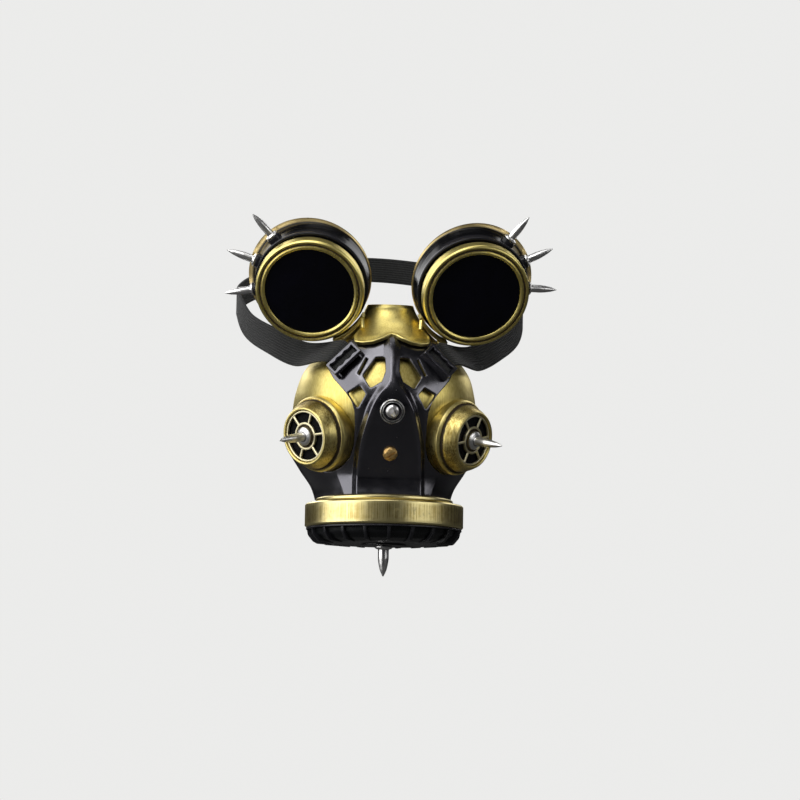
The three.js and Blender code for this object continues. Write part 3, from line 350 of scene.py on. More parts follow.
def cup_frame(sign):
    return aimed(shell_point(sign * CUP_X, CUP_Z, 0), outward(sign, CUP_OUT, CUP_DOWN))


def goggle_frame(sign):
    spot = (sign * GOGGLE_SPOT[0], *GOGGLE_SPOT[1:])
    return aimed(spot, outward(sign, GOGGLE_OUT, GOGGLE_DOWN))


NECK = Matrix.Translation((0, NECK_Y, -FACE_DROP)) @ Matrix.Rotation(rad(180 - NECK_TILT), 4, "X")
NECK_BACK = NECK.inverted()


def neck_line(s, offset_at, seat=SEAT):
    """Height at which a shell meets the neck plane, at a place round its section."""
    low, high = -FACE_DROP * 1.1, -FACE_DROP * 0.7
    for _ in range(30):
        z = (low + high) / 2
        if (NECK_BACK @ from_label(s, z, offset_at(z))).z > -seat:
            low = z
        else:
            high = z
    return z


print("neck line in the middle, mm:", round(neck_line(0, plate_offset), 1))

# %% [markdown]
# Moulded parts have no razor edges. Every outline gets its corners rounded before it is used,
# each corner by a small arc that never takes more than its share of the two sides.

# %% Outlines
def rounded(points, radius, closed=True, steps=4):
    """The same outline with rounded corners. A point may bring its own radius as a third value."""
    result = []
    for i, point in enumerate(points):
        here = Vector(point[:2])
        own = point[2] if len(point) > 2 else radius
        a = Vector(points[i - 1][:2]) - here
        b = Vector(points[(i + 1) % len(points)][:2]) - here
        end = not closed and i in (0, len(points) - 1)
        turn = 0 if end or own == 0 or not a.length or not b.length else math.pi - a.angle(b)
        if turn < 0.02:
            result.append(tuple(here))
            continue
        reach = min(own * math.tan(turn / 2), 0.45 * a.length, 0.45 * b.length)
        start, stop = here + a.normalized() * reach, here + b.normalized() * reach
        for k in range(steps + 1):
            t = k / steps
            result.append(tuple(start * (1 - t) ** 2 + here * 2 * t * (1 - t) + stop * t * t))
    return result


def spaced(points, step, closed=True):
    """The same line with its points no further apart than a step."""
    result = []
    for i, a in enumerate(points):
        if not closed and i == len(points) - 1:
            result.append(tuple(a))
            break
        b = points[(i + 1) % len(points)]
        parts = max(1, math.ceil(math.dist(a, b) / step))
        for k in range(parts):
            result.append((mix(a[0], b[0], k / parts), mix(a[1], b[1], k / parts)))
    return result


def signed_area(points):
    return sum(a[0] * b[1] - b[0] * a[1] for a, b in zip(points, points[1:] + points[:1])) / 2


def inset(points, distance):
    """A closed anticlockwise outline, moved to its left by a distance."""
    result = []
    for i, here in enumerate(points):
        a, b = Vector(points[i - 1]), Vector(points[(i + 1) % len(points)])
        along = (b - a).normalized()
        result.append((here[0] - along.y * distance, here[1] + along.x * distance))
    return result


def mirrored(half):
    """Half an outline from the middle line outwards, with its mirror image."""
    return list(half) + [(-p[0], *p[1:]) for p in reversed(half) if abs(p[0]) > 1e-6]


print("square with rounded corners:", len(rounded([(0, 0), (4, 0), (4, 4), (0, 4)], 1)), "points")

# %% [markdown]
# A finished piece needs the same last steps each time: millimetres become metres, the shading is
# smoothed except over real edges, and each point is told how proud it stands. That value, high on
# an outer edge and low in a groove, later decides where the gold is rubbed bright
# and where the dark patina stays. It is found from the angles between neighbouring faces and then
# spread over about a millimetre.

# %% Solids and finished pieces
WEAR_SPREAD = 0.6
WEAR_PASSES = 10
made = []


def solid(name, points, faces, place=None):
    """A closed mesh in millimetres, its faces turned outwards."""
    mesh = bpy.data.meshes.new(name)
    mesh.from_pydata([tuple(p) for p in points], [], faces)
    if place is not None:
        mesh.transform(place)
    work = bmesh.new()
    work.from_mesh(mesh)
    bmesh.ops.remove_doubles(work, verts=work.verts, dist=1e-5)
    bmesh.ops.recalc_face_normals(work, faces=work.faces)
    work.to_mesh(mesh)
    work.free()
    body = bpy.data.objects.new(name, mesh)
    bpy.context.collection.objects.link(body)
    return body


def settle(body):
    """Replaces an object's mesh by what its modifiers make of it."""
    evaluated = body.evaluated_get(bpy.context.evaluated_depsgraph_get())
    mesh = bpy.data.meshes.new_from_object(evaluated)
    body.modifiers.clear()
    body.data = mesh
    return body


def combine(body, other, operation):
    """Unites, cuts or intersects two closed solids, and keeps the first object."""
    step = body.modifiers.new("combine", "BOOLEAN")
    step.solver = "MANIFOLD"
    step.operation = operation
    step.object = other
    settle(body)
    bpy.data.objects.remove(other)
    return body


def bevelled(body, width, segments=2, limit=30):
    """Softens the edges that turn by more than a limit, in degrees."""
    step = body.modifiers.new("soften", "BEVEL")
    step.width = width
    step.segments = segments
    step.limit_method = "ANGLE"
    step.angle_limit = rad(limit)
    return settle(body)


def gathered(name, bodies):
    """Several solids as one piece."""
    points, faces = [], []
    for body in bodies:
        first = len(points)
        points += [v.co.copy() for v in body.data.vertices]
        faces += [tuple(first + i for i in p.vertices) for p in body.data.polygons]
        bpy.data.objects.remove(body)
    mesh = bpy.data.meshes.new(name)
    mesh.from_pydata(points, [], faces)
    whole = bpy.data.objects.new(name, mesh)
    bpy.context.collection.objects.link(whole)
    return whole


def mark_wear(mesh):
    """Writes how proud each point stands as a point attribute named wear."""
    work = bmesh.new()
    work.from_mesh(mesh)
    work.verts.index_update()
    ends = np.array([[v.index for v in e.verts] for e in work.edges])
    turn = np.array([e.calc_face_angle_signed(0.0) for e in work.edges])
    length = np.array([e.calc_length() for e in work.edges])
    work.free()
    value = np.zeros(len(mesh.vertices))
    for side in (0, 1):
        np.add.at(value, ends[:, side], turn)
    pull = 1 / (1 + (length / WEAR_SPREAD) ** 2)
    weight = np.ones(len(value))
    for side in (0, 1):
        np.add.at(weight, ends[:, side], pull)
    for _ in range(WEAR_PASSES):
        total = value.copy()
        np.add.at(total, ends[:, 0], pull * value[ends[:, 1]])
        np.add.at(total, ends[:, 1], pull * value[ends[:, 0]])
        value = total / weight
    wear = mesh.attributes.new("wear", "FLOAT", "POINT")
    wear.data.foreach_set("value", np.clip(0.5 + value, 0, 1).astype(np.float32))


def dressed(body, material, slot, *nodes, sharp=38):
    """The last steps of every piece: shading, metres, wear, finish, body and node. The slot is not used."""
    mesh = body.data
    mesh.shade_smooth()
    mesh.set_sharp_from_angle(angle=rad(sharp))
    mark_wear(mesh)
    mesh.transform(Matrix.Scale(MM, 4))
    mesh.materials.clear()
    mesh.materials.append(material)
    body.name = nodes[0] + "_piece"
    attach(body, "root")
    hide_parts(*nodes)
    made.append(body)
    triangles = sum(len(p.vertices) - 2 for p in mesh.polygons)
    print(f"{body.name}: {triangles} triangles")
    return body


# %% [markdown]
# Most small parts of this mask are turned on a lathe in spirit: bezels, cups, rings, spikes and
# the canister. A turned part is its profile swept round an axis. A profile that begins and ends
# on the axis closes at two poles, and any other closes on itself as a ring.

# %% Turned parts
RING_STEP = 1.6


def turned(name, profile, place, segments=96, radius=0.3, steps=4):
    """A part turned about +Z from a profile of radius and height."""
    on_axis = profile[0][0] == 0
    line = spaced(rounded(profile, radius, closed=not on_axis, steps=steps), RING_STEP, closed=not on_axis)
    points, rows = [], []
    for r, h in line:
        if r < 1e-6:
            rows.append([len(points)] * segments)
            points.append(Vector((0, 0, h)))
            continue
        rows.append(list(range(len(points), len(points) + segments)))
        for k in range(segments):
            angle = 2 * math.pi * k / segments
            points.append(Vector((r * math.cos(angle), r * math.sin(angle), h)))
    pairs = list(zip(rows, rows[1:])) if on_axis else list(zip(rows, rows[1:] + rows[:1]))
    faces = []
    for low, high in pairs:
        for k in range(segments):
            n = (k + 1) % segments
            corners = [low[k], low[n], high[n], high[k]]
            faces.append([c for i, c in enumerate(corners) if c != corners[i - 1]])
    return solid(name, points, faces, place)


def lofted(name, rings, place=None, closed=False):
    """A skin over rings of points. It is closed with flat ends, or on itself."""
    count = len(rings[0])
    points = [p for ring in rings for p in ring]
    faces = []
    for i in range(len(rings) if closed else len(rings) - 1):
        j = (i + 1) % len(rings)
        for k in range(count):
            n = (k + 1) % count
            faces.append((i * count + k, i * count + n, j * count + n, j * count + k))
    if not closed:
        faces.append(tuple(range(count)))
        faces.append(tuple((len(rings) - 1) * count + k for k in range(count)))
    return solid(name, points, faces, place)


def face_solid(offset, top, bottom, levels=70, segments=72):
    """The space that the half mask encloses, grown by an offset, closed across its rear."""
    rings = []
    for i in range(levels + 1):
        z = mix(top, bottom, i / levels)
        rings.append([from_label(mix(-SIDE, SIDE, k / segments), z, offset) for k in range(segments + 1)])
    return lofted("face_space", rings)


# %% [markdown]
# Plates such as the front plate, the half mask and the grilles are sheets with a pattern of
# openings. Cutting holes out of a finished shell leaves ragged faces, which spoil a gloss. Here
# the outline, the holes and the crease lines are drawn flat first, the flat pattern is filled with
# small triangles that follow all of them, and only then is it laid on the form. The sheet gets its
# thickness backwards, and its front edge is rounded by letting the points near it sink.

# %% Sheets with openings
EDGE_STEPS = (0.0, 0.15, 0.45, 1.0)


def cut_sheet(name, areas, holes, place, wall, step=1.0, lines=(), edge=0.5, lift=None):
    """A sheet over some areas without the holes, laid on a form by place(u, v)."""
    spots, links, rings = [], [], []

    def draw(points, closed):
        first = len(spots)
        spots.extend(points)
        count = len(points)
        links.extend((first + k, first + k + 1) for k in range(count - 1))
        if closed:
            links.append((first + count - 1, first))
        return list(range(first, first + count))

    for kind, outlines in (("area", areas), ("hole", holes)):
        for outline in outlines:
            ring = spaced(outline, step * 0.7)
            if signed_area(ring) < 0:
                ring.reverse()
            rings.append((kind, draw(ring, True)))
            for share in EDGE_STEPS[1:]:
                draw(inset(ring, edge * share * (1 if kind == "area" else -1)), True)
    for line in lines:
        draw(spaced(line, step * 0.7, closed=False), False)

    near = kdtree.KDTree(len(spots))
    for i, spot in enumerate(spots):
        near.insert((*spot, 0), i)
    near.balance()
    low = np.min(spots, axis=0)
    high = np.max(spots, axis=0)
    for v in np.arange(low[1] + step / 2, high[1], step):
        for u in np.arange(low[0] + step / 2, high[0], step):
            if near.find((u, v, 0))[2] > step * 0.45:
                spots.append((float(u), float(v)))

    flat, _, faces, _, _, owners = delaunay_2d_cdt(
        [Vector(s) for s in spots], links, [ring for _, ring in rings], 0, 1e-4
    )
    kinds = [kind for kind, _ in rings]
    kept = [
        face
        for face, own in zip(faces, owners)
        if any(kinds[o] == "area" for o in own) and not any(kinds[o] == "hole" for o in own)
    ]
    used = sorted({i for face in kept for i in face})
    fresh = {old: new for new, old in enumerate(used)}
    kept = [[fresh[i] for i in face] for face in kept]
    front = [Vector(place(*flat[i])) for i in used]

    sides = {}
    for face in kept:
        for a, b in zip(face, face[1:] + face[:1]):
            sides[(a, b)] = True
    rim = [(a, b) for a, b in sides if (b, a) not in sides]
    samples = []
    for a, b in rim:
        parts = max(1, math.ceil((front[b] - front[a]).length / 0.06))
        samples += [front[a].lerp(front[b], k / parts) for k in range(parts)]
    border = kdtree.KDTree(len(samples))
    for i, sample in enumerate(samples):
        border.insert(sample, i)
    border.balance()

    skin = bpy.data.meshes.new(name)
    skin.from_pydata(front, [], kept)
    out = [Vector(v.vector) for v in skin.vertex_normals]
    bpy.data.meshes.remove(skin)
    points = []
    for point, normal in zip(front, out):
        gap = border.find(point)[2]
        sunk = edge - math.sqrt(max(edge**2 - max(edge - gap, 0) ** 2, 0))
        raised = lift(point, gap) if lift else 0
        points.append(point + normal * (raised - sunk))
    count = len(points)
    points += [point - normal * wall for point, normal in zip(front, out)]
    faces = kept + [[count + i for i in reversed(face)] for face in kept]
    faces += [[b, a, count + a, count + b] for a, b in rim]
    return solid(name, points, faces)


print("helpers are ready")

# %% [markdown]
# Materials are built from nodes. A small helper adds a node, sets its inputs and joins what is
# passed in as a socket, which keeps each recipe short enough to read. The effects that several
# finishes share, such as patina, brushing and dust, are node groups with their own inputs.

# %% Node helpers
def put(tree, kind, settings=None, **inputs):
    """Adds a node. Inputs are values or sockets; an underscore in a name is a space."""
    node = tree.nodes.new(kind)
    for name, value in (settings or {}).items():
        setattr(node, name, value)
    for name, value in inputs.items():
        feed(tree, node.inputs[name.replace("_", " ")], value)
    return node


def feed(tree, socket, value):
    if isinstance(value, bpy.types.NodeSocket):
        tree.links.new(value, socket)
    else:
        socket.default_value = value


def maths(tree, operation, a, b=0.0, clamp=False):
    node = tree.nodes.new("ShaderNodeMath")
    node.operation = operation
    node.use_clamp = clamp
    feed(tree, node.inputs[0], a)
    feed(tree, node.inputs[1], b)
    return node.outputs[0]


def blend_colours(tree, share, a, b):
    node = tree.nodes.new("ShaderNodeMix")
    node.data_type = "RGBA"
    feed(tree, node.inputs[0], share)
    feed(tree, node.inputs[6], a)
    feed(tree, node.inputs[7], b)
    return node.outputs[2]


def ramp(tree, value, low, high, start=0.0, stop=1.0):
    """Maps a value smoothly from one range to another."""
    node = put(tree, "ShaderNodeMapRange", dict(interpolation_type="SMOOTHSTEP"), Value=value)
    for name, number in zip(("From Min", "From Max", "To Min", "To Max"), (low, high, start, stop)):
        feed(tree, node.inputs[name], number)
    return node.outputs["Result"]


def new_group(name, inputs, outputs):
    """An empty node group with named sockets. Inputs are (name, kind, value)."""
    tree = bpy.data.node_groups.new(name, "ShaderNodeTree")
    for socket, kind, value in inputs:
        made_socket = tree.interface.new_socket(socket, in_out="INPUT", socket_type=kind)
        if value is not None:
            made_socket.default_value = value
    for socket, kind in outputs:
        tree.interface.new_socket(socket, in_out="OUTPUT", socket_type=kind)
    start = tree.nodes.new("NodeGroupInput")
    stop = tree.nodes.new("NodeGroupOutput")
    return tree, start.outputs, stop.inputs


FLOAT, VECTOR = "NodeSocketFloat", "NodeSocketVector"

# %% [markdown]
# Antique gold is a bright metallic paint with a brown wash over it. The wash stays in the
# grooves and in blotches on the open surface, and it is rubbed off the edges. The patina group
# works this out from how proud a point stands and from two sizes of noise.

# %% Shared effects
def make_patina():
    tree, given, result = new_group(
        "patina",
        [("Vector", VECTOR, None), ("Wear", FLOAT, 0.5), ("Amount", FLOAT, 0.5), ("Blotch", FLOAT, 70.0)],
        [("Dark", FLOAT), ("Bright", FLOAT), ("Mottle", FLOAT)],
    )
    blotch = put(
        tree, "ShaderNodeTexNoise", Vector=given["Vector"], Scale=given["Blotch"], Detail=4.0,
        Roughness=0.6
    )
    fine_scale = maths(tree, "MULTIPLY", given["Blotch"], 9.0)
    grain = put(
        tree, "ShaderNodeTexNoise", Vector=given["Vector"], Scale=fine_scale, Detail=5.0, Roughness=0.7
    )
    mottle = maths(
        tree, "ADD", maths(tree, "MULTIPLY", blotch.outputs["Fac"], 0.6),
        maths(tree, "MULTIPLY", grain.outputs["Fac"], 0.4)
    )
    sunk = maths(tree, "SUBTRACT", 0.5, given["Wear"])
    wash = maths(tree, "ADD", mottle, maths(tree, "MULTIPLY", sunk, 1.1))
    wash = maths(tree, "ADD", wash, maths(tree, "MULTIPLY", given["Amount"], 0.3))
    tree.links.new(ramp(tree, wash, 0.60, 0.80), result["Dark"])
    rubbed = maths(tree, "ADD", given["Wear"], maths(tree, "MULTIPLY", mottle, 0.5))
    tree.links.new(ramp(tree, rubbed, 0.85, 1.15), result["Bright"])
    tree.links.new(mottle, result["Mottle"])
    return tree


def make_brushing():
    """Fine parallel scratches along the given frame's Z."""
    tree, given, result = new_group(
        "brushing",
        [("Vector", VECTOR, None), ("Across", FLOAT, 1800.0), ("Along", FLOAT, 25.0)],
        [("Height", FLOAT)],
    )
    scale = put(tree, "ShaderNodeCombineXYZ", X=given["Across"], Y=given["Across"], Z=given["Along"])
    long = put(tree, "ShaderNodeVectorMath", dict(operation="MULTIPLY"))
    tree.links.new(given["Vector"], long.inputs[0])
    tree.links.new(scale.outputs[0], long.inputs[1])
    noise = put(tree, "ShaderNodeTexNoise", Vector=long.outputs[0], Scale=1.0, Detail=3.0, Roughness=0.6)
    tree.links.new(noise.outputs["Fac"], result["Height"])
    return tree


def make_handling():
    """What handling leaves on a smooth surface: soft smears and specks of dust."""
    tree, given, result = new_group(
        "handling",
        [("Vector", VECTOR, None), ("Smear Scale", FLOAT, 60.0), ("Dust", FLOAT, 0.3)],
        [("Smear", FLOAT), ("Speck", FLOAT)],
    )
    smear = put(
        tree, "ShaderNodeTexNoise", Vector=given["Vector"], Scale=given["Smear Scale"], Detail=5.0,
        Roughness=0.65, Distortion=0.8
    )
    tree.links.new(ramp(tree, smear.outputs["Fac"], 0.35, 0.7), result["Smear"])
    speck = put(tree, "ShaderNodeTexVoronoi", Vector=given["Vector"], Scale=420.0)
    small = ramp(tree, speck.outputs["Distance"], 0.16, 0.04)
    chance = put(tree, "ShaderNodeTexNoise", Vector=given["Vector"], Scale=260.0, Detail=2.0)
    some = ramp(tree, chance.outputs["Fac"], 0.6, 0.7)
    tree.links.new(
        maths(tree, "MULTIPLY", maths(tree, "MULTIPLY", small, some), given["Dust"]), result["Speck"]
    )
    return tree


PATINA, BRUSHING, HANDLING = make_patina(), make_brushing(), make_handling()


def use(tree, shared, **inputs):
    node = tree.nodes.new("ShaderNodeGroup")
    node.node_tree = shared
    for name, value in inputs.items():
        feed(tree, node.inputs[name.replace("_", " ")], value)
    return node.outputs


def new_finish(name):
    """A material with its shader, the object's own coordinates and the wear attribute."""
    finish = bpy.data.materials.new(name)
    finish.use_nodes = True
    tree = finish.node_tree
    shader = tree.nodes["Principled BSDF"]
    coordinates = put(tree, "ShaderNodeTexCoord").outputs["Object"]
    wear = put(tree, "ShaderNodeAttribute", dict(attribute_name="wear")).outputs["Fac"]
    return finish, tree, shader, coordinates, wear


print("groups:", [g.name for g in bpy.data.node_groups])

# %% [markdown]
# The gold finishes share one recipe and differ in their values. The half mask and the nose piece
# are brushed from top to bottom, the cups and bezels are mottled and darker, and the canister's
# band has the cleanest metal, with scratches along its axis. A Mapping node turns the
# coordinates so that the scratches follow each piece.

# %% Gold finishes
GOLD_PALE = (0.90, 0.76, 0.26, 1)
GOLD_DEEP = (0.46, 0.34, 0.06, 1)
PATINA_BROWN = (0.038, 0.023, 0.007, 1)


def gold_finish(
    name, amount, blotch=70.0, brushed=0.5, turn=(0, 0, 0), rough=0.3, deep=GOLD_DEEP, pale=GOLD_PALE
):
    finish, tree, shader, where, wear = new_finish(name)
    turned_where = put(tree, "ShaderNodeMapping", dict(vector_type="POINT"), Vector=where)
    turned_where.inputs["Rotation"].default_value = [rad(a) for a in turn]
    aged = use(tree, PATINA, Vector=where, Wear=wear, Amount=amount, Blotch=blotch)
    scratch = use(tree, BRUSHING, Vector=turned_where.outputs[0])["Height"]
    tone = maths(tree, "MULTIPLY", maths(tree, "ADD", aged["Mottle"], scratch), 0.5)
    metal = blend_colours(tree, ramp(tree, tone, 0.38, 0.62), deep, pale)
    metal = blend_colours(tree, aged["Bright"], metal, pale)
    feed(tree, shader.inputs["Base Color"], blend_colours(tree, aged["Dark"], metal, PATINA_BROWN))
    feed(tree, shader.inputs["Metallic"], ramp(tree, aged["Dark"], 0.0, 1.0, 1.0, 0.35))
    dull = maths(
        tree, "ADD", ramp(tree, aged["Dark"], 0.0, 1.0, rough, 0.62),
        maths(tree, "MULTIPLY", scratch, 0.12)
    )
    feed(tree, shader.inputs["Roughness"], dull)
    height = maths(
        tree, "ADD", maths(tree, "MULTIPLY", scratch, brushed),
        maths(tree, "MULTIPLY", aged["Mottle"], 0.8)
    )
    bump = put(tree, "ShaderNodeBump", Strength=0.5, Distance=0.00012, Height=height)
    feed(tree, shader.inputs["Normal"], bump.outputs[0])
    return finish


gold_shell = gold_finish(
    "gold_shell", -0.2, 38.0, 0.7, rough=0.33, deep=(0.66, 0.52, 0.14, 1), pale=(0.88, 0.74, 0.27, 1)
)
gold_mottled = gold_finish(
    "gold_mottled", 0.6, 50.0, 0.25, rough=0.3, deep=(0.30, 0.20, 0.04, 1), pale=(0.86, 0.72, 0.28, 1)
)
gold_rubbed = gold_finish(
    "gold_rubbed", 0.2, 95.0, 0.25, rough=0.34, deep=(0.60, 0.50, 0.22, 1), pale=(0.92, 0.84, 0.55, 1)
)
gold_bezel = gold_finish("gold_bezel", 0.72, 120.0, 0.3, rough=0.30)
gold_band = gold_finish(
    "gold_band", 0.52, 40.0, 0.9, turn=(NECK_TILT, 0, 0), rough=0.25,
    deep=(0.46, 0.34, 0.10, 1), pale=(0.90, 0.78, 0.38, 1)
)
gold_copper = gold_finish(
    "gold_copper", 0.5, 260.0, 0.2, rough=0.4, deep=(0.34, 0.18, 0.05, 1), pale=(0.78, 0.52, 0.20, 1)
)
print("gold finishes made")

# %% [markdown]
# The black plastic is glossy, but not perfect: smears change its roughness, and a few specks of
# dust lie on it. Its proud edges are painted a lighter grey, a painted highlight along the edges.
# Polished steel on the spikes is brighter, with a faint lengthwise grain, and its creases are
# painted dark, a painted shade. The lenses are nearly black with a trace of blue, and must not glare.

# %% Black, silver, lens and mesh finishes
PLASTIC_IOR = 1.75
SMEARED_BLACK = (0.010, 0.010, 0.012, 1)
DUST_GREY = (0.10, 0.10, 0.10, 1)
EDGE_HIGHLIGHT_GREY = (0.030, 0.029, 0.034, 1)
FELT_PORE = (0.0015, 0.0015, 0.0015, 1)
FELT_FACE = (0.007, 0.007, 0.007, 1)


def black_finish(name, colour, rough, dust=0.4, edge_paint=None, gloss=0.5, tint=(1, 1, 1, 1)):
    finish, tree, shader, where, wear = new_finish(name)
    marks = use(tree, HANDLING, Vector=where, Smear_Scale=55.0, Dust=dust)
    base = blend_colours(
        tree, maths(tree, "MULTIPLY", marks["Smear"], 0.35), colour, SMEARED_BLACK
    )
    base = blend_colours(tree, marks["Speck"], base, DUST_GREY)
    # Proud edges are painted a lighter grey: a painted highlight along the edges.
    rubbed = ramp(tree, wear, 0.62, 0.95, 0.0, 0.55)
    base = blend_colours(tree, rubbed, base, EDGE_HIGHLIGHT_GREY)
    dull = maths(tree, "ADD", ramp(tree, marks["Smear"], 0.0, 1.0, rough, rough + 0.1), marks["Speck"])
    if edge_paint:
        painted = put(tree, "ShaderNodeAttribute", dict(attribute_name="painted")).outputs["Fac"]
        aged = use(tree, PATINA, Vector=where, Wear=0.5, Amount=0.35, Blotch=110.0)
        streak = use(tree, BRUSHING, Vector=where, Across=240.0, Along=240.0)["Height"]
        cover = maths(
            tree, "MULTIPLY", painted, ramp(tree, maths(tree, "ADD", aged["Mottle"], streak), 0.55, 0.85)
        )
        base = blend_colours(tree, cover, base, edge_paint)
        feed(tree, shader.inputs["Metallic"], cover)
        dull = maths(tree, "ADD", dull, maths(tree, "MULTIPLY", cover, 0.2))
    feed(tree, shader.inputs["Base Color"], base)
    feed(tree, shader.inputs["Roughness"], dull)
    shader.inputs["Specular IOR Level"].default_value = gloss
    shader.inputs["IOR"].default_value = PLASTIC_IOR
    shader.inputs["Specular Tint"].default_value = tint
    ripple = put(tree, "ShaderNodeTexNoise", Vector=where, Scale=130.0, Detail=2.0)
    bump = put(tree, "ShaderNodeBump", Strength=0.35, Distance=0.0002, Height=ripple.outputs["Fac"])
    feed(tree, shader.inputs["Normal"], bump.outputs[0])
    return finish


def silver_finish(name):
    finish, tree, shader, where, wear = new_finish(name)
    marks = use(tree, HANDLING, Vector=where, Smear_Scale=180.0, Dust=0.2)
    # The creases are painted dark brown: a painted shade where the surface is sunk.
    crease_shade = ramp(tree, wear, 0.42, 0.25, 0.0, 0.75)
    base = blend_colours(tree, marks["Smear"], (0.97, 0.96, 0.95, 1), (0.84, 0.83, 0.81, 1))
    feed(tree, shader.inputs["Base Color"], blend_colours(tree, crease_shade, base, (0.07, 0.06, 0.05, 1)))
    shader.inputs["Metallic"].default_value = 1.0
    feed(tree, shader.inputs["Roughness"], ramp(tree, marks["Smear"], 0.0, 1.0, 0.28, 0.38))
    grain = put(tree, "ShaderNodeTexNoise", Vector=where, Scale=900.0, Detail=3.0)
    bump = put(tree, "ShaderNodeBump", Strength=0.25, Distance=0.00008, Height=grain.outputs["Fac"])
    feed(tree, shader.inputs["Normal"], bump.outputs[0])
    return finish


def lens_finish(name):
    finish, tree, shader, where, _ = new_finish(name)
    marks = use(tree, HANDLING, Vector=where, Smear_Scale=40.0, Dust=0.25)
    base = blend_colours(tree, marks["Smear"], (0.0015, 0.0015, 0.003, 1), (0.0025, 0.0025, 0.006, 1))
    base = blend_colours(tree, maths(tree, "MULTIPLY", marks["Speck"], 0.3), base, (0.1, 0.1, 0.1, 1))
    feed(tree, shader.inputs["Base Color"], base)
    feed(tree, shader.inputs["Roughness"], ramp(tree, marks["Smear"], 0.0, 1.0, 0.05, 0.11))
    shader.inputs["Specular IOR Level"].default_value = 0.22
    return finish


def mesh_finish(name):
    """Dark felt behind the grilles, with the pores of a filter."""
    finish, tree, shader, where, _ = new_finish(name)
    pores = put(tree, "ShaderNodeTexVoronoi", Vector=where, Scale=900.0)
    open_pore = ramp(tree, pores.outputs["Distance"], 0.15, 0.45)
    feed(
        tree, shader.inputs["Base Color"],
        blend_colours(tree, open_pore, FELT_PORE, FELT_FACE)
    )
    feed(tree, shader.inputs["Roughness"], ramp(tree, open_pore, 0.0, 1.0, 0.95, 0.8))
    shader.inputs["Specular IOR Level"].default_value = 0.12
    bump = put(tree, "ShaderNodeBump", Strength=0.6, Distance=0.0003, Height=open_pore)
    feed(tree, shader.inputs["Normal"], bump.outputs[0])
    return finish


gloss_black = black_finish(
    "gloss_black", (0.0024, 0.0024, 0.0034, 1), 0.16, gloss=1.0, tint=(0.93, 0.91, 1.0, 1)
)
satin_black = black_finish("satin_black", (0.0028, 0.0038, 0.0040, 1), 0.27, dust=0.2, gloss=0.22)
cup_black = black_finish(
    "goggle_black", (0.0022, 0.0022, 0.0030, 1), 0.14, edge_paint=(0.95, 0.74, 0.34, 1), gloss=0.14
)
silver = silver_finish("silver_steel")
dark_lens = lens_finish("dark_lens")
filter_felt = mesh_finish("filter_felt")

# %% [markdown]
# Elastic webbing has fine lengthwise ribs and threads that cross them. The pattern has to follow
# the strap round its curves, so it reads two attributes of the strap, how far along and how far
# across a point lies, and not the place in space.

# %% Elastic finish
ELASTIC_DEEP = (0.0022, 0.0024, 0.0022, 1)
ELASTIC_PALE = (0.0125, 0.0132, 0.0122, 1)


def elastic_finish(name):
    finish, tree, shader, _, _ = new_finish(name)
    along = put(tree, "ShaderNodeAttribute", dict(attribute_name="along")).outputs["Fac"]
    across = put(tree, "ShaderNodeAttribute", dict(attribute_name="across")).outputs["Fac"]
    rib = maths(tree, "SINE", maths(tree, "MULTIPLY", across, 2 * math.pi / 0.0014))
    thread = maths(tree, "SINE", maths(tree, "MULTIPLY", along, 2 * math.pi / 0.0009))
    weave = maths(tree, "ADD", maths(tree, "MULTIPLY", rib, 0.6), maths(tree, "MULTIPLY", thread, 0.4))
    flat = put(tree, "ShaderNodeCombineXYZ", X=along, Y=across)
    fuzz = put(tree, "ShaderNodeTexNoise", Vector=flat.outputs[0], Scale=900.0, Detail=4.0)
    tone = maths(tree, "ADD", ramp(tree, weave, -1.0, 1.0), fuzz.outputs["Fac"])
    rib_colour = blend_colours(tree, ramp(tree, tone, 0.4, 1.5), ELASTIC_DEEP, ELASTIC_PALE)
    feed(tree, shader.inputs["Base Color"], rib_colour)
    feed(tree, shader.inputs["Roughness"], ramp(tree, tone, 0.3, 1.5, 0.95, 0.78))
    shader.inputs["Sheen Weight"].default_value = 0.15
    bump = put(tree, "ShaderNodeBump", Strength=0.7, Distance=0.0003, Height=weave)
    feed(tree, shader.inputs["Normal"], bump.outputs[0])
    return finish


elastic = elastic_finish("elastic_webbing")
print("finishes:", len(bpy.data.materials))

# %% [markdown]
# The gold half mask is the shell that everything else stands on. It is open at the back
# and closed under the chin by a floor that follows the neck plane. It is cut as a sheet on the
# unrolled label, from rear edge to rear edge, and the floor is a second, flat sheet.

# %% Half mask
FACE_TOP = FACE_ROWS[0]["z"] * FACE_DROP * 0.8
RIM_ROUND = 0.55


def across_line(height_at, count=120):
    return [(s, height_at(s)) for s in np.linspace(-SIDE, SIDE, count + 1)]


def make_half_mask():
    flush = lambda z: 0.0
    bottom = across_line(lambda s: neck_line(s, flush))
    wall = bottom + [(SIDE, FACE_TOP), (-SIDE, FACE_TOP)]
    shell = cut_sheet(
        "face_wall", [wall], [], lambda s, z: from_label(s, z, 0), FACE_WALL, step=1.3, edge=RIM_ROUND
    )
    outline = []
    for s, z in bottom:
        spot = NECK_BACK @ from_label(s, z, -0.3)
        outline.append((spot.x, spot.y))
    on_plane = lambda u, v: NECK @ Vector((u, v, -SEAT))
    floor = cut_sheet("face_floor", [outline], [], on_plane, FLOOR_WALL - SEAT, step=2.5, edge=0.2)
    return gathered("face", [shell, floor])


dressed(make_half_mask(), gold_shell, "antique_gold", "facepiece")

# %% [markdown]
# The front plate is the piece one looks at first. A raised ridge runs down from the nose and
# widens into a bell-shaped panel, with sloping flanks on both sides. Two pairs of windows and
# a narrow slot are cut through it, and its lower part wraps right round the chin. The ridge is
# part of the surface that the pattern is laid on, and the pattern has extra lines where the
# surface turns, so that those turns stay crisp under a gloss. At the chin, beside the panel, two
# flats meet in a crease that catches the light.

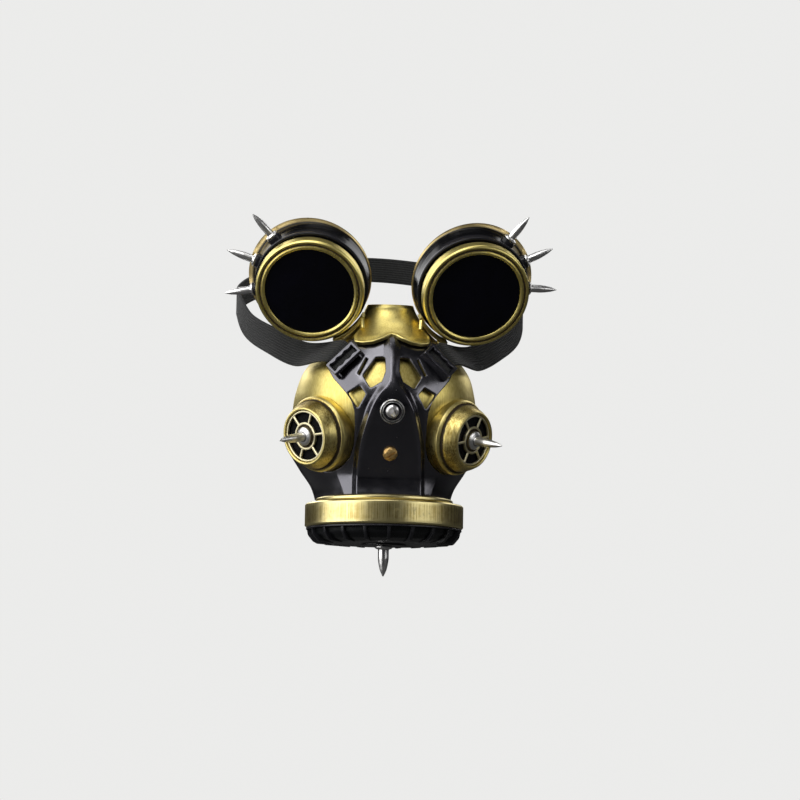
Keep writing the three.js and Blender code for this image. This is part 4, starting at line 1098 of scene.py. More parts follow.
# %% The plate's surface
PLATE_HALF_WIDTH = 35.5
PANEL_HALF_WIDTH = 17.6
PANEL_RELIEF = 2.6
PANEL_FLANK = 2.4
PANEL_CROWN = 0.5
WRAP_TOP = -0.7767 * FACE_DROP
PANEL_TURN = 0.4

PANEL_ROWS = [
    dict(z=-0.1, half=0.07, relief=0.3, flank=1.2),
    dict(z=-0.16, half=0.07, relief=0.6, flank=1.4),
    dict(z=-0.24, half=0.075, relief=0.9, flank=1.5),
    dict(z=-0.34, half=0.08, relief=1.0, flank=1.5),
    dict(z=-0.38, half=0.18, relief=1.0, flank=1.4),
    dict(z=-0.43, half=0.4, relief=1.0, flank=1.2),
    dict(z=-0.5, half=0.62, relief=1.0, flank=1.0),
    dict(z=-0.6, half=0.8, relief=1.0, flank=0.9),
    dict(z=-0.7, half=0.93, relief=0.95, flank=0.8),
    dict(z=-0.8, half=0.98, relief=0.8, flank=0.8),
    dict(z=-0.88, half=1.0, relief=0.3, flank=0.8),
    dict(z=-0.93, half=1.0, relief=0.0, flank=0.8),
    dict(z=-1.1, half=1.0, relief=0.0, flank=0.8),
]
PANEL_TOP = PANEL_ROWS[0]["z"] * FACE_DROP
PANEL_BOTTOM = PANEL_ROWS[-1]["z"] * FACE_DROP


@lru_cache(maxsize=None)
def panel_section(z):
    """Half width, foot, front and crown of the raised panel at a height."""
    share = z / FACE_DROP
    half = read_table(PANEL_ROWS, "half", share) * PANEL_HALF_WIDTH
    foot = half + read_table(PANEL_ROWS, "flank", share) * PANEL_FLANK
    relief = read_table(PANEL_ROWS, "relief", share) * PANEL_RELIEF
    front = shell_point(0, z, plate_offset(z)).y - relief
    return half, foot, front, PANEL_CROWN * min(1, half / PANEL_HALF_WIDTH)


def panel_front(z):
    return panel_section(z)[2]


def plate_depth(x, z):
    """How far forward the plate reaches at a place in front view."""
    offset = plate_offset(z)
    flat = shell_point(x, z, offset).y
    if not PANEL_BOTTOM < z < PANEL_TOP + 2:
        return flat
    half, foot, front, crown = panel_section(z)
    if abs(x) >= foot:
        return flat
    if abs(x) <= half:
        return front + crown * (x / half) ** 2
    root = shell_point(foot, z, offset).y
    return mix(front + crown, root, (abs(x) - half) / (foot - half))


TURN_SAMPLES = (-1, -0.5, 0, 0.5, 1)
CHIN_FLATS = (rad(25), rad(45))
CHIN_LEVELS = (-0.76 * FACE_DROP, -0.83 * FACE_DROP)
CHIN_RADIUS = 41


def chin_bulge(s, z):
    """How far the plate stands out where two flats meet in a crease beside the panel."""
    turn = abs(s) / UNROLL
    front, side = CHIN_FLATS
    if not front < turn < side:
        return 0.0
    away = min(turn - front, side - turn)
    return CHIN_RADIUS * (1 / math.cos(away) - 1) * smooth_step(-z, -CHIN_LEVELS[0], -CHIN_LEVELS[1])


def plate_surface(s, z):
    """A point of the plate by its place on the label, its turns softened a little."""
    point = from_label(s, z, plate_offset(z) + chin_bulge(s, z))
    half, foot, _, _ = panel_section(z)
    if abs(point.x) < foot + PANEL_TURN and PANEL_BOTTOM < z:
        near = [plate_depth(point.x + PANEL_TURN * t, z) for t in TURN_SAMPLES]
        flat = [shell_point(point.x + PANEL_TURN * t, z, plate_offset(z)).y for t in TURN_SAMPLES]
        point.y += sum(near) / len(near) - sum(flat) / len(flat)
    return point


print("panel at its widest, mm:", round(2 * panel_section(PANEL_BOTTOM + 1)[0], 1))

# %% [markdown]
# The outlines are short tables of corners in front view. The third number of a corner is its
# rounding in millimetres: large where the plate flows round a cup, small at a window.

# %% The plate's outline and windows
CUP_BASE_R = 20.8
YOKE = [
    (0, -0.112, 0), (0.34, -0.12, 3), (0.59, -0.14, 3), (0.7, -0.16, 2), (1.0, -0.285, 1.2),
    (0.89, -0.355, 5), (0.8, -0.39, 5), (0.7, -0.43, 5), (0.62, -0.47, 5), (0.57, -0.525, 6),
    (0.555, -0.6, 8), (0.555, -0.7, 8), (0.6, -0.76, 6), (0.72, -0.85, 2), (0, -0.9, 0),
]
UPPER_WINDOW = [
    (0.12, -0.235), (0.255, -0.238), (0.45, -0.335), (0.335, -0.4), (0.165, -0.362), (0.115, -0.31)
]
LOWER_WINDOW = [(0.495, -0.39), (0.685, -0.428), (0.64, -0.453), (0.525, -0.51), (0.405, -0.432)]
SLOT_WINDOW = [(0.375, -0.247), (0.405, -0.24), (0.53, -0.325), (0.5, -0.333)]
WINDOW_ROUND = {"upper": 1.1, "lower": 0.9, "slot": 0.4}


def front_outline(rows, radius, sign=1):
    """A table of corners in front view, rounded, on the label."""
    corners = [(sign * x * PLATE_HALF_WIDTH, z * FACE_DROP, *more) for x, z, *more in rows]
    return [to_label(x, z, plate_offset(z)) for x, z in spaced(rounded(corners, radius), 1.0)]


def cup_bore(sign, radius):
    """Where a cup's round base passes through the plate, on the label."""
    frame_matrix = cup_frame(sign)
    outline = []
    for k in range(120):
        angle = 2 * math.pi * k / 120
        rim = Vector((radius * math.cos(angle), radius * math.sin(angle), 0))
        low, high = -40.0, 30.0
        for _ in range(28):
            rim.z = (low + high) / 2
            spot = frame_matrix @ rim
            if abs(spot.x) < face_section(spot.z)[1] + plate_offset(spot.z) and (
                spot.y > shell_point(spot.x, spot.z, plate_offset(spot.z)).y
            ):
                low = rim.z
            else:
                high = rim.z
        outline.append(to_label(spot.x, spot.z, plate_offset(spot.z)))
    return outline


def turn_lines():
    """The lines of the pattern along which the ridge and panel turn."""
    lines = []
    for sign in SIDES.values():
        for edge in (0, 1):
            for shift in (-1.05, -0.5, 0, 0.5, 1.05):
                line = []
                for z in np.linspace(PANEL_TOP - 1.5, PANEL_BOTTOM + 0.4, 90):
                    x = panel_section(z)[edge] + shift * PANEL_TURN
                    spot = to_label(sign * x, z, plate_offset(z))
                    if x > 0.25 and z > neck_line(spot[0], plate_offset) + 0.8:
                        line.append(spot)
                lines.append(line)
        crease = sign * UNROLL * sum(CHIN_FLATS) / 2
        end = neck_line(crease, plate_offset) + 0.8
        for shift in (-0.35, 0, 0.35):
            lines.append([(crease + shift, z) for z in np.linspace(CHIN_LEVELS[0], end, 20)])
    return lines


def make_front_plate():
    yoke = [to_label(x, z, plate_offset(z)) for x, z in spaced(
        rounded([(x * PLATE_HALF_WIDTH, z * FACE_DROP, r) for x, z, r in mirrored(YOKE)], 0), 1.0)]
    bottom = across_line(lambda s: neck_line(s, plate_offset))
    wrap = bottom + [(SIDE, WRAP_TOP), (-SIDE, WRAP_TOP)]
    holes = []
    for sign in SIDES.values():
        holes.append(front_outline(UPPER_WINDOW, WINDOW_ROUND["upper"], sign))
        holes.append(front_outline(LOWER_WINDOW, WINDOW_ROUND["lower"], sign))
        holes.append(front_outline(SLOT_WINDOW, WINDOW_ROUND["slot"], sign))
        holes.append(cup_bore(sign, CUP_BASE_R + FIT))
    return cut_sheet(
        "plate", [yoke, wrap], holes, plate_surface, PLATE_WALL, step=0.9, lines=turn_lines(),
        edge=RIM_ROUND
    )


dressed(make_front_plate(), gloss_black, "gloss_black", "front_plate", sharp=42)

# %% [markdown]
# The nose piece is a saddle of brushed gold that bridges the nose above the plate. Its lower edge
# stands far enough forward to pass over the plate's top, and it ends in a rolled lip. Two small
# arms run from its corners to curved lugs, to which the goggles are screwed.

# %% Nose piece
NOSE_WALL = 1.8
NOSE_HALF_WIDTH = 20.5
NOSE_DROP = 17
NOSE_LIFT = 6
FLANGE_R = 31.2
FLANGE_STEP = 0.9
BARREL_R = FLANGE_R - FLANGE_STEP
LUG_WALL = 1.8
LUG_FROM = -116
LUG_TO = -152
LUG_MARGIN = 4.5
LUG_FRONT = 4
LUG_BACK = 9.5
ARM_LEVEL = 0.55
ARM_START = 0.78
ARM_WIDTH = 5.5
LIP_RISE = 0.5
LIP_WIDTH = 1.7

NOSE_ROWS = [
    dict(z=0.4, lift=0.0),
    dict(z=0.0, lift=0.02),
    dict(z=-0.35, lift=0.2),
    dict(z=-0.6, lift=0.62),
    dict(z=-0.8, lift=1.0),
    dict(z=-1.1, lift=1.12),
]
NOSE_OUTLINE = [
    (0, 0.235, 0), (0.36, 0.225, 3), (0.55, 0.14, 4), (0.72, -0.1, 5), (0.86, -0.5, 5), (1.02, -0.78, 1.6),
    (1.0, -0.97, 1.2), (0.78, -1.0, 4), (0.52, -0.96, 4), (0.26, -0.84, 4), (0.1, -0.73, 2.5), (0, -0.7, 0),
]


def nose_lift(z):
    return SEAT + read_table(NOSE_ROWS, "lift", z / NOSE_DROP) * NOSE_LIFT


def rounded_bar(width, height, radius, steps=3):
    """The section of a bar, as points about its middle."""
    w, h = width / 2, height / 2
    return rounded([(-w, -h), (w, -h), (w, h), (-w, h)], radius, steps=steps)


def nose_lug(sign):
    """The curved tab beside the eyecup, in the goggle's own frame."""
    start = LUG_TO if sign > 0 else 180 - LUG_FROM - LUG_MARGIN
    stop = LUG_FROM + LUG_MARGIN if sign > 0 else 180 - LUG_TO
    middle = FLANGE_R + FIT + LUG_WALL / 2
    section = rounded_bar(LUG_WALL, LUG_BACK - LUG_FRONT, 0.4)
    rings = []
    for k in range(25):
        angle = rad(mix(start, stop, k / 24))
        out = Vector((math.cos(angle), math.sin(angle), 0))
        rings.append(
            [out * (middle + a) + Vector((0, 0, b - (LUG_FRONT + LUG_BACK) / 2)) for a, b in section]
        )
    return lofted("lug", rings, goggle_frame(sign))


def nose_arm(sign):
    z = -ARM_LEVEL * NOSE_DROP
    start = shell_point(sign * ARM_START * NOSE_HALF_WIDTH, z, nose_lift(z) + NOSE_WALL / 2)
    angle = rad(LUG_TO + LUG_MARGIN if sign > 0 else 180 - LUG_TO - LUG_MARGIN)
    reach = FLANGE_R + FIT + LUG_WALL / 2
    stop = goggle_frame(sign) @ Vector(
        (reach * math.cos(angle), reach * math.sin(angle), -(LUG_FRONT + LUG_BACK) / 2)
    )
    along = (stop - start).normalized()
    thick = along.cross(Vector((0, 0, 1))).normalized()
    high = thick.cross(along)
    section = rounded_bar(ARM_WIDTH, NOSE_WALL, 0.5)
    rings = [[spot + high * a + thick * b for a, b in section] for spot in (start, stop)]
    return lofted("arm", rings)


def eyecup_room(sign):
    """The space in front of the lugs that the goggle's flange needs."""
    radius = FLANGE_R + FIT
    return turned("room", [(0, -14), (radius, -14), (radius, 8), (0, 8)], goggle_frame(sign), radius=0)


def make_nose_piece():
    corners = mirrored([(x * NOSE_HALF_WIDTH, z * NOSE_DROP, r) for x, z, r in NOSE_OUTLINE])
    offset = lambda z: nose_lift(z) + NOSE_WALL
    outline = [to_label(x, z, offset(z)) for x, z in spaced(rounded(corners, 0), 0.8)]

    def lip(point, gap):
        low = smooth_step(-point.z, 0.55 * NOSE_DROP, 0.75 * NOSE_DROP)
        return LIP_RISE * low * (1 - smooth_step(gap, LIP_WIDTH * 0.5, LIP_WIDTH))

    saddle = cut_sheet(
        "saddle", [outline], [], lambda s, z: from_label(s, z, offset(z)), NOSE_WALL,
        step=0.6, edge=0.6, lift=lip,
    )
    bodies = [saddle]
    for sign in SIDES.values():
        bodies.append(combine(nose_arm(sign), eyecup_room(sign), "DIFFERENCE"))
        bodies.append(nose_lug(sign))
    return gathered("nose", bodies)


dressed(make_nose_piece(), gold_shell, "antique_gold", "nose_piece")

# %% [markdown]
# The cheek cups are stepped turnings whose base follows the half mask. The turning is made long
# and then cut by the half mask's own space, so that it stands on the gold
# without a gap and nothing of it shows from inside.

# %% Cheek cups
CUP_STEP_R = 18.8
CUP_MOUTH_R = 15.8
CUP_LENGTH = 15.3
CUP_BASE_LENGTH = 6.5
CUP_LIP = 1.5
CUP_RECESS = 5
CUP_ROOT = 14
GRILLE_WALL = 1.6
GRILLE_SETBACK = 0.8
GRILLE_HUB_R = 7.6
GRILLE_RIM = 1.1
GRILLE_SPOKES = 6
GRILLE_TURN = 8
GRILLE_SPOKE_WIDTH = 1.5
FILTER_WALL = 1.2


def make_cup(sign):
    step = CUP_BASE_LENGTH
    inner = CUP_MOUTH_R - CUP_LIP
    profile = [
        (0, -CUP_ROOT), (CUP_BASE_R, -CUP_ROOT), (CUP_BASE_R, step - 1.2), (CUP_BASE_R - 0.8, step),
        (CUP_STEP_R, step + 0.3), (CUP_STEP_R - 0.4, step + 2.6, 1.6),
        (mix(CUP_STEP_R, CUP_MOUTH_R, 0.55), CUP_LENGTH - 3, 3), (CUP_MOUTH_R, CUP_LENGTH - 0.4),
        (CUP_MOUTH_R - 0.4, CUP_LENGTH), (inner, CUP_LENGTH), (inner, CUP_LENGTH - CUP_RECESS),
        (0, CUP_LENGTH - CUP_RECESS),
    ]
    cup = turned("cup", profile, cup_frame(sign), segments=128, radius=0.5)
    return combine(cup, face_solid(SEAT, 0, -FACE_DROP * 1.1), "DIFFERENCE")


for name, sign in SIDES.items():
    dressed(make_cup(sign), gold_mottled, "antique_gold", f"cheek_cup_{name}")

# %% [markdown]
# A grille is a rim, a hub and six spokes. The spokes repeat, which is what Geometry Nodes are for:
# one tree takes a single spoke, places it on a number of points, turns each copy by an equal
# share of the circle, and makes the copies real. The same tree later repeats the canister's fins.

# %% A tree that repeats a part round a circle
def repeat_tree():
    tree = bpy.data.node_groups.new("repeat_round", "GeometryNodeTree")
    tree.interface.new_socket("Geometry", in_out="INPUT", socket_type="NodeSocketGeometry")
    for name, kind in (
        ("Count", "NodeSocketInt"), ("Start", "NodeSocketFloat"), ("Finish", "NodeSocketMaterial")
    ):
        tree.interface.new_socket(name, in_out="INPUT", socket_type=kind)
    tree.interface.new_socket("Geometry", in_out="OUTPUT", socket_type="NodeSocketGeometry")
    given = tree.nodes.new("NodeGroupInput").outputs
    result = tree.nodes.new("NodeGroupOutput").inputs
    spots = put(tree, "GeometryNodePoints", Count=given["Count"])
    index = tree.nodes.new("GeometryNodeInputIndex").outputs[0]
    share = maths(tree, "DIVIDE", index, given["Count"])
    angle = maths(tree, "ADD", maths(tree, "MULTIPLY", share, 2 * math.pi), given["Start"])
    turn = put(tree, "ShaderNodeCombineXYZ", Z=angle)
    copies = put(tree, "GeometryNodeInstanceOnPoints")
    tree.links.new(spots.outputs[0], copies.inputs["Points"])
    tree.links.new(given["Geometry"], copies.inputs["Instance"])
    tree.links.new(turn.outputs[0], copies.inputs["Rotation"])
    real = tree.nodes.new("GeometryNodeRealizeInstances")
    tree.links.new(copies.outputs[0], real.inputs[0])
    paint = tree.nodes.new("GeometryNodeSetMaterial")
    tree.links.new(real.outputs[0], paint.inputs["Geometry"])
    tree.links.new(given["Finish"], paint.inputs["Material"])
    tree.links.new(paint.outputs[0], result["Geometry"])
    return tree


REPEAT = repeat_tree()


def repeated(body, count, start, finish):
    """Copies of a part round its frame's +Z, as one mesh."""
    step = body.modifiers.new("repeat", "NODES")
    step.node_group = REPEAT
    values = {"Count": count, "Start": start, "Finish": finish}
    for item in REPEAT.interface.items_tree:
        if item.item_type == "SOCKET" and item.in_out == "INPUT" and item.name in values:
            step[item.identifier] = values[item.name]
    return settle(body)


# %% [markdown]
# The rim and the hub are turned, and the spoke between them is a bar with softened edges.

# %% Grilles and filters
def make_grille(sign):
    rim = CUP_MOUTH_R - CUP_LIP - SEAT
    base = cup_frame(sign) @ Matrix.Translation((0, 0, CUP_LENGTH - GRILLE_SETBACK - GRILLE_WALL))
    inner = rim - GRILLE_RIM
    ring = turned(
        "rim", [(rim, 0), (rim, GRILLE_WALL), (inner, GRILLE_WALL), (inner, 0)], None, segments=96,
        radius=0.35
    )
    hub = turned(
        "hub",
        [(0, 0), (GRILLE_HUB_R, 0), (GRILLE_HUB_R, GRILLE_WALL), (GRILLE_HUB_R - 1.1, GRILLE_WALL),
         (GRILLE_HUB_R - 1.4, GRILLE_WALL - 0.35), (0, GRILLE_WALL - 0.35)],
        None, segments=72, radius=0.3,
    )
    section = rounded_bar(GRILLE_SPOKE_WIDTH, GRILLE_WALL - 0.3, 0.5)
    rings = [
        [Vector((reach, a, b + GRILLE_WALL / 2)) for a, b in section]
        for reach in np.linspace(GRILLE_HUB_R - 0.5, inner + 0.5, 6)
    ]
    spokes = repeated(lofted("spoke", rings), GRILLE_SPOKES, rad(GRILLE_TURN), gold_rubbed)
    grille = gathered("grille", [ring, hub, spokes])
    grille.data.transform(base)
    return grille


def make_filter(sign):
    radius = CUP_MOUTH_R - CUP_LIP - SEAT
    top = CUP_LENGTH - GRILLE_SETBACK - GRILLE_WALL - SEAT
    profile = [
        (0, top - FILTER_WALL), (radius, top - FILTER_WALL), (radius, top - 0.4), (radius - 3, top),
        (0, top)
    ]
    return turned("filter", profile, cup_frame(sign), segments=64)


for name, sign in SIDES.items():
    dressed(make_grille(sign), gold_rubbed, "antique_gold", f"grille_{name}")
    dressed(make_filter(sign), filter_felt, "filter_mesh", f"filter_{name}")

# %% [markdown]
# All the spikes are the same kind of part in four sizes: a screwed foot with a shoulder, a plain
# shank and a long point. They are bought-in studs on such masks, so one function
# makes them all.

# %% Spikes
GOGGLE_SPIKE = dict(length=16.4, shank=2.1, flange=3.7, foot=1.2)
CUP_SPIKE = dict(length=19.5, shank=2.4, flange=5, foot=1.4)
PANEL_SPIKE = dict(length=15.5, shank=2.5, flange=3.6, foot=1.3)
CANISTER_SPIKE = dict(length=16.6, shank=3, flange=5, foot=1.4)
GOGGLE_SPIKE_ANGLES = {"left": (-10, 20, 50), "right": (-1, 28, 56)}
GOGGLE_SPIKE_BACK = 17
GOGGLE_SPIKE_PAD = 2.9
PANEL_SPIKE_Z = -0.5184 * FACE_DROP


def make_spike(place, length, shank, flange, foot):
    profile = [
        (0, 0), (flange, 0, 0.2), (flange, foot * 0.6, 0.35), (flange * 0.8, foot, 0.4),
        (shank * 1.02, foot + 0.3, 0.25),
        (shank, foot + 0.9, 0.2), (shank, length * 0.42, 3), (shank * 0.86, length * 0.6, 5),
        (shank * 0.62, length * 0.79, 5), (shank * 0.14, length - 0.25, 0.2), (0, length),
    ]
    return turned("spike", profile, place, segments=40)


def spike_seat(sign, degrees, gap):
    """Where a spike stands on the eyecup, in the goggle's own frame."""
    angle = rad(degrees if sign > 0 else 180 - degrees)
    out = Vector((math.cos(angle), math.sin(angle), 0))
    spot = out * (BARREL_R + GOGGLE_SPIKE_PAD + gap) + Vector((0, 0, -GOGGLE_SPIKE_BACK))
    return aimed(spot, out, up=(0, 0, 1))


def panel_spot(z, probe=0.5):
    """A frame that stands on the middle of the panel, square to it."""
    normal = Vector((0, -2 * probe, panel_front(z + probe) - panel_front(z - probe))).normalized()
    return aimed(Vector((0, panel_front(z), z)) + normal * SEAT, normal)


for name, sign in SIDES.items():
    for k, degrees in enumerate(GOGGLE_SPIKE_ANGLES[name]):
        seat = goggle_frame(sign) @ spike_seat(sign, degrees, SEAT)
        dressed(make_spike(seat, **GOGGLE_SPIKE), silver, "silver", f"goggle_spike_{name}_{k + 1}")
    foot = cup_frame(sign) @ Matrix.Translation((0, 0, CUP_LENGTH - GRILLE_SETBACK + SEAT))
    dressed(make_spike(foot, **CUP_SPIKE), silver, "silver", f"cup_spike_{name}")
dressed(make_spike(panel_spot(PANEL_SPIKE_Z), **PANEL_SPIKE), silver, "silver", "panel_spike")

# %% [markdown]
# The panel carries a silver ring round its spike and, below it, a worn dome screw whose gold has
# turned coppery. Its dome is uneven, so the turned head is pushed in and out by a few tenths
# of a millimetre with a smooth, fixed noise.

# %% Panel ring and screw
RING_R = 6.7
RING_WALL = 1.8
RING_HEIGHT = 1.5
SCREW_Z = -0.7408 * FACE_DROP
SCREW_R = 4
SCREW_HEIGHT = 2.6
SLOT_WIDTH = 1
SCREW_TURN = 35
DENT = 0.16


RING_GROOVE = 0.35


def make_ring():
    inner = RING_R - RING_WALL
    profile = [
        (inner, 0), (RING_R, 0), (RING_R, RING_HEIGHT * 0.6), (RING_R - RING_WALL * 0.2, RING_HEIGHT),
        (RING_R - RING_WALL * 0.3, RING_HEIGHT), (RING_R - RING_WALL * 0.45, RING_HEIGHT * RING_GROOVE),
        (RING_R - RING_WALL * 0.62, RING_HEIGHT * RING_GROOVE), (RING_R - RING_WALL * 0.75, RING_HEIGHT),
        (RING_R - RING_WALL * 0.85, RING_HEIGHT), (inner, RING_HEIGHT * 0.6),
    ]
    return turned("ring", profile, panel_spot(PANEL_SPIKE_Z), segments=72, radius=0.12)


def make_dome_screw():
    profile = [
        (0, 0), (SCREW_R, 0), (SCREW_R, SCREW_HEIGHT * 0.35, 0.6),
        (SCREW_R * 0.82, SCREW_HEIGHT * 0.75, 1.2),
        (SCREW_R * 0.45, SCREW_HEIGHT, 1.5), (0, SCREW_HEIGHT),
    ]
    head = turned("head", profile, None, segments=64, radius=0.4)
    for vertex in head.data.vertices:
        p = vertex.co
        wave = math.sin(2.1 * p.x + 1.3) * math.sin(1.7 * p.y + 0.4) + 0.6 * math.sin(3.3 * p.x - 2.2 * p.y)
        if p.z > 0.05:
            vertex.co += Vector((p.x, p.y, p.z)).normalized() * DENT * (wave - 0.8) / 1.6
    w, h, d = 1.1 * SCREW_R, SLOT_WIDTH / 2, SCREW_HEIGHT / 2
    corners = [(-w, -h), (w, -h), (w, h), (-w, h)]
    slot = lofted(
        "slot",
        [[Vector((x, y, z)) for x, y in corners] for z in (SCREW_HEIGHT * 0.62, SCREW_HEIGHT * 1.6)]
    )
    slot.data.transform(Matrix.Rotation(rad(SCREW_TURN), 4, "Z"))
    head = combine(head, slot, "DIFFERENCE")
    head.data.transform(panel_spot(SCREW_Z))
    return head


dressed(make_ring(), silver, "silver", "panel_ring")
dressed(make_dome_screw(), gold_copper, "antique_gold", "panel_screw")

# %% [markdown]
# The canister is three turnings, a collar, a wide band and a dished base, one below the other.
# Twenty fins stand round the base. One fin is cut from its side view and given softened edges,
# and the tree that repeated the spokes repeats it.

# %% Canister
COLLAR_R = 38
COLLAR_HOLE_R = 24
COLLAR_HEIGHT = 2.6
BAND_R = 43.9
BAND_WALL = 2.2
BAND_HEIGHT = 13
BAND_CHAMFER = 0.8
BASE_HEIGHT = 8.4
BASE_WALL = 2.4
BASE_INSET = 3.2
BOSS_R = 12.5
BOSS_HEIGHT = 0.9
FIN_COUNT = 20
FIN_WIDTH = 1.7


def make_collar():
    profile = [
        (COLLAR_HOLE_R, 0), (COLLAR_R - 0.5, 0), (COLLAR_R, 0.5), (COLLAR_R, COLLAR_HEIGHT - 0.9),
        (COLLAR_R - 0.7, COLLAR_HEIGHT), (COLLAR_HOLE_R, COLLAR_HEIGHT),
    ]
    return turned("collar", profile, NECK, segments=160)


def make_band():
    top = COLLAR_HEIGHT + SEAT
    low = top + BAND_HEIGHT
    profile = [
        (COLLAR_HOLE_R, top), (BAND_R - BAND_CHAMFER, top, 0.5), (BAND_R, top + BAND_CHAMFER, 0.6),
        (BAND_R, low - BAND_CHAMFER, 0.6), (BAND_R - BAND_CHAMFER, low, 0.5), (BAND_R - BAND_WALL, low),
        (BAND_R - BAND_WALL, top + BAND_WALL), (COLLAR_HOLE_R, top + BAND_WALL),
    ]
    return turned("band", profile, NECK, segments=192)


def make_base():
    top = COLLAR_HEIGHT + BAND_HEIGHT + 2 * SEAT
    core = BAND_R - BASE_INSET
    low = top + BASE_HEIGHT
    edge = BAND_R - BAND_CHAMFER
    dish = turned(
        "dish",
        [
            (0, low - BASE_WALL), (core * 0.74, low - BASE_WALL), (core * 0.88, top + BASE_HEIGHT * 0.5),
            (core - BASE_WALL, top), (edge, top), (edge, top + 1), (core, top + 1.4),
            (core * 0.985, top + BASE_HEIGHT * 0.45, 2), (core * 0.9, top + BASE_HEIGHT * 0.82, 3),
            (core * 0.76, low, 1.5), (BOSS_R, low), (BOSS_R, low + BOSS_HEIGHT), (0, low + BOSS_HEIGHT),
        ],
        None, segments=160, radius=0.35,
    )
    side = [
        (core - BASE_WALL / 2, top + SEAT), (edge - SEAT, top + SEAT),
        (edge * 0.975, top + BASE_HEIGHT * 0.5, 3),
        (edge * 0.9, low - SEAT, 2), (core * 0.74, low + BOSS_HEIGHT / 2, 0.6),
        (core * 0.72, low - BASE_WALL / 2),
    ]
    outline = rounded(side, 0.3)
    rings = [[Vector((r, y, h)) for r, h in outline] for y in (-FIN_WIDTH / 2, FIN_WIDTH / 2)]
    fin = bevelled(lofted("fin", rings), 0.35, limit=50)
    fins = repeated(fin, FIN_COUNT, rad(-90), satin_black)
    base = gathered("base", [dish, fins])
    base.data.transform(NECK)
    return base


def make_canister_spike():
    height = COLLAR_HEIGHT + BAND_HEIGHT + 2 * SEAT + BASE_HEIGHT + BOSS_HEIGHT + SEAT
    return make_spike(NECK @ Matrix.Translation((0, 0, height)), **CANISTER_SPIKE)


dressed(make_collar(), gold_band, "antique_gold", "canister_collar")
dressed(make_band(), gold_band, "antique_gold", "canister_band")
dressed(make_base(), satin_black, "gloss_black", "canister_base")
dressed(make_canister_spike(), silver, "silver", "canister_spike")

# %% [markdown]
# An eyecup is round where the lens sits and oval where it meets the face, so it can't be turned.
# Its skin is lofted through rings instead: forwards along the outside, over the flange, and back
# through the inside, until the skin closes on itself. The flared back rim was once
# painted gold, and its paint is rubbed, which a second attribute tells the finish.

# %% Eyecups
LENS_R = 27
LENS_WALL = 2
SIGHT_R = 24.4
BEZEL_R = 29.7
BEZEL_HEIGHT = 6.6
BEZEL_LIP = 1.6
EYECUP_WALL = 2
EYECUP_DEPTH = 23
EYECUP_BACK_HALF = (34, 34.6)
EYECUP_BACK_SHIFT = 2.2
FLANGE_BACK = 9
FLANGE_WALL = 2
NECK_R = BEZEL_R - BEZEL_LIP - SEAT
LENS_BACK = BEZEL_LIP + SEAT + LENS_WALL + SEAT
PAD_MARGIN = 0.4
RING_POINTS = 128
EYECUP_ROWS = [(0.47, 0.0), (0.74, 0.22), (0.92, 0.46), (1.0, 1.0)]


def oval_ring(sign, out, back, grown=0.0):
    """A ring of the eyecup. Out is its share of the way from the round neck to the back rim."""
    wide = mix(BARREL_R, EYECUP_BACK_HALF[0], out) + grown
    high = mix(BARREL_R, EYECUP_BACK_HALF[1], out) + grown
    turns = (2 * math.pi * k / RING_POINTS for k in range(RING_POINTS))
    middle = sign * EYECUP_BACK_SHIFT * out
    return [Vector((middle + wide * math.cos(a), high * math.sin(a), -back)) for a in turns]


def eyecup_profile(sign):
    """Rings from the neck's front over the outside and back through the inside."""
    deep = EYECUP_DEPTH
    outer = [
        (NECK_R - BARREL_R, LENS_BACK, 0, 0.2), (NECK_R - BARREL_R, FLANGE_BACK, 0, 0.3),
        (FLANGE_R - BARREL_R - 0.4, FLANGE_BACK, 0, 0.4), (FLANGE_R - BARREL_R, FLANGE_BACK + 0.6, 0, 0.5),
        (FLANGE_R - BARREL_R, FLANGE_BACK + FLANGE_WALL - 0.5, 0, 0.4),
        (0, FLANGE_BACK + FLANGE_WALL + 0.2, 0, 0.4),
    ]
    inner = [(SIGHT_R - BARREL_R, FLANGE_BACK, 0, 0.5), (SIGHT_R - BARREL_R, LENS_BACK, 0, 0.2)]
    rings = []
    for grown, back in rounded([(g, b, r) for g, b, _, r in outer], 0.3, closed=False, steps=3):
        rings.append(oval_ring(sign, 0, back, grown))
    rows = rounded([(back * deep, out, 2.0) for back, out in EYECUP_ROWS], 2.0, closed=False, steps=6)
    rows = spaced(rows, 0.9, closed=False)
    lip = 0.55
    for back, out in rows[:-1]:
        rings.append(oval_ring(sign, out, back))
    for k in range(7):
        turn = math.pi * k / 6
        middle = -EYECUP_WALL / 2
        rings.append(
            oval_ring(
                sign, 1.0, deep - lip + lip * math.sin(turn), middle + EYECUP_WALL / 2 * math.cos(turn)
            )
        )
    for back, out in reversed(rows[:-1]):
        rings.append(oval_ring(sign, out, back, -EYECUP_WALL))
    for grown, back, _, _ in inner:
        rings.append(oval_ring(sign, 0, back, grown))
    return rings


def spike_pad(sign, degrees):
    """The round boss that a spike is screwed on."""
    radius = GOGGLE_SPIKE["flange"] + PAD_MARGIN
    depth = GOGGLE_SPIKE_PAD + EYECUP_WALL * 0.8
    profile = [(0, -depth), (radius, -depth), (radius, 0), (0, 0)]
    return turned(
        "pad", profile, goggle_frame(sign) @ spike_seat(sign, degrees, 0), segments=40, radius=0.45
    )


def make_eyecup(name, sign):
    cup = lofted("eyecup", eyecup_profile(sign), goggle_frame(sign), closed=True)
    pads = [spike_pad(sign, degrees) for degrees in GOGGLE_SPIKE_ANGLES[name]]
    whole = gathered("eyecup", [cup, *pads])
    back = goggle_frame(sign).inverted()
    painted = whole.data.attributes.new("painted", "FLOAT", "POINT")
    for i, vertex in enumerate(whole.data.vertices):
        spot = back @ vertex.co
        painted.data[i].value = smooth_step(-spot.z, EYECUP_DEPTH - 1.1, EYECUP_DEPTH - 0.8)
    return whole


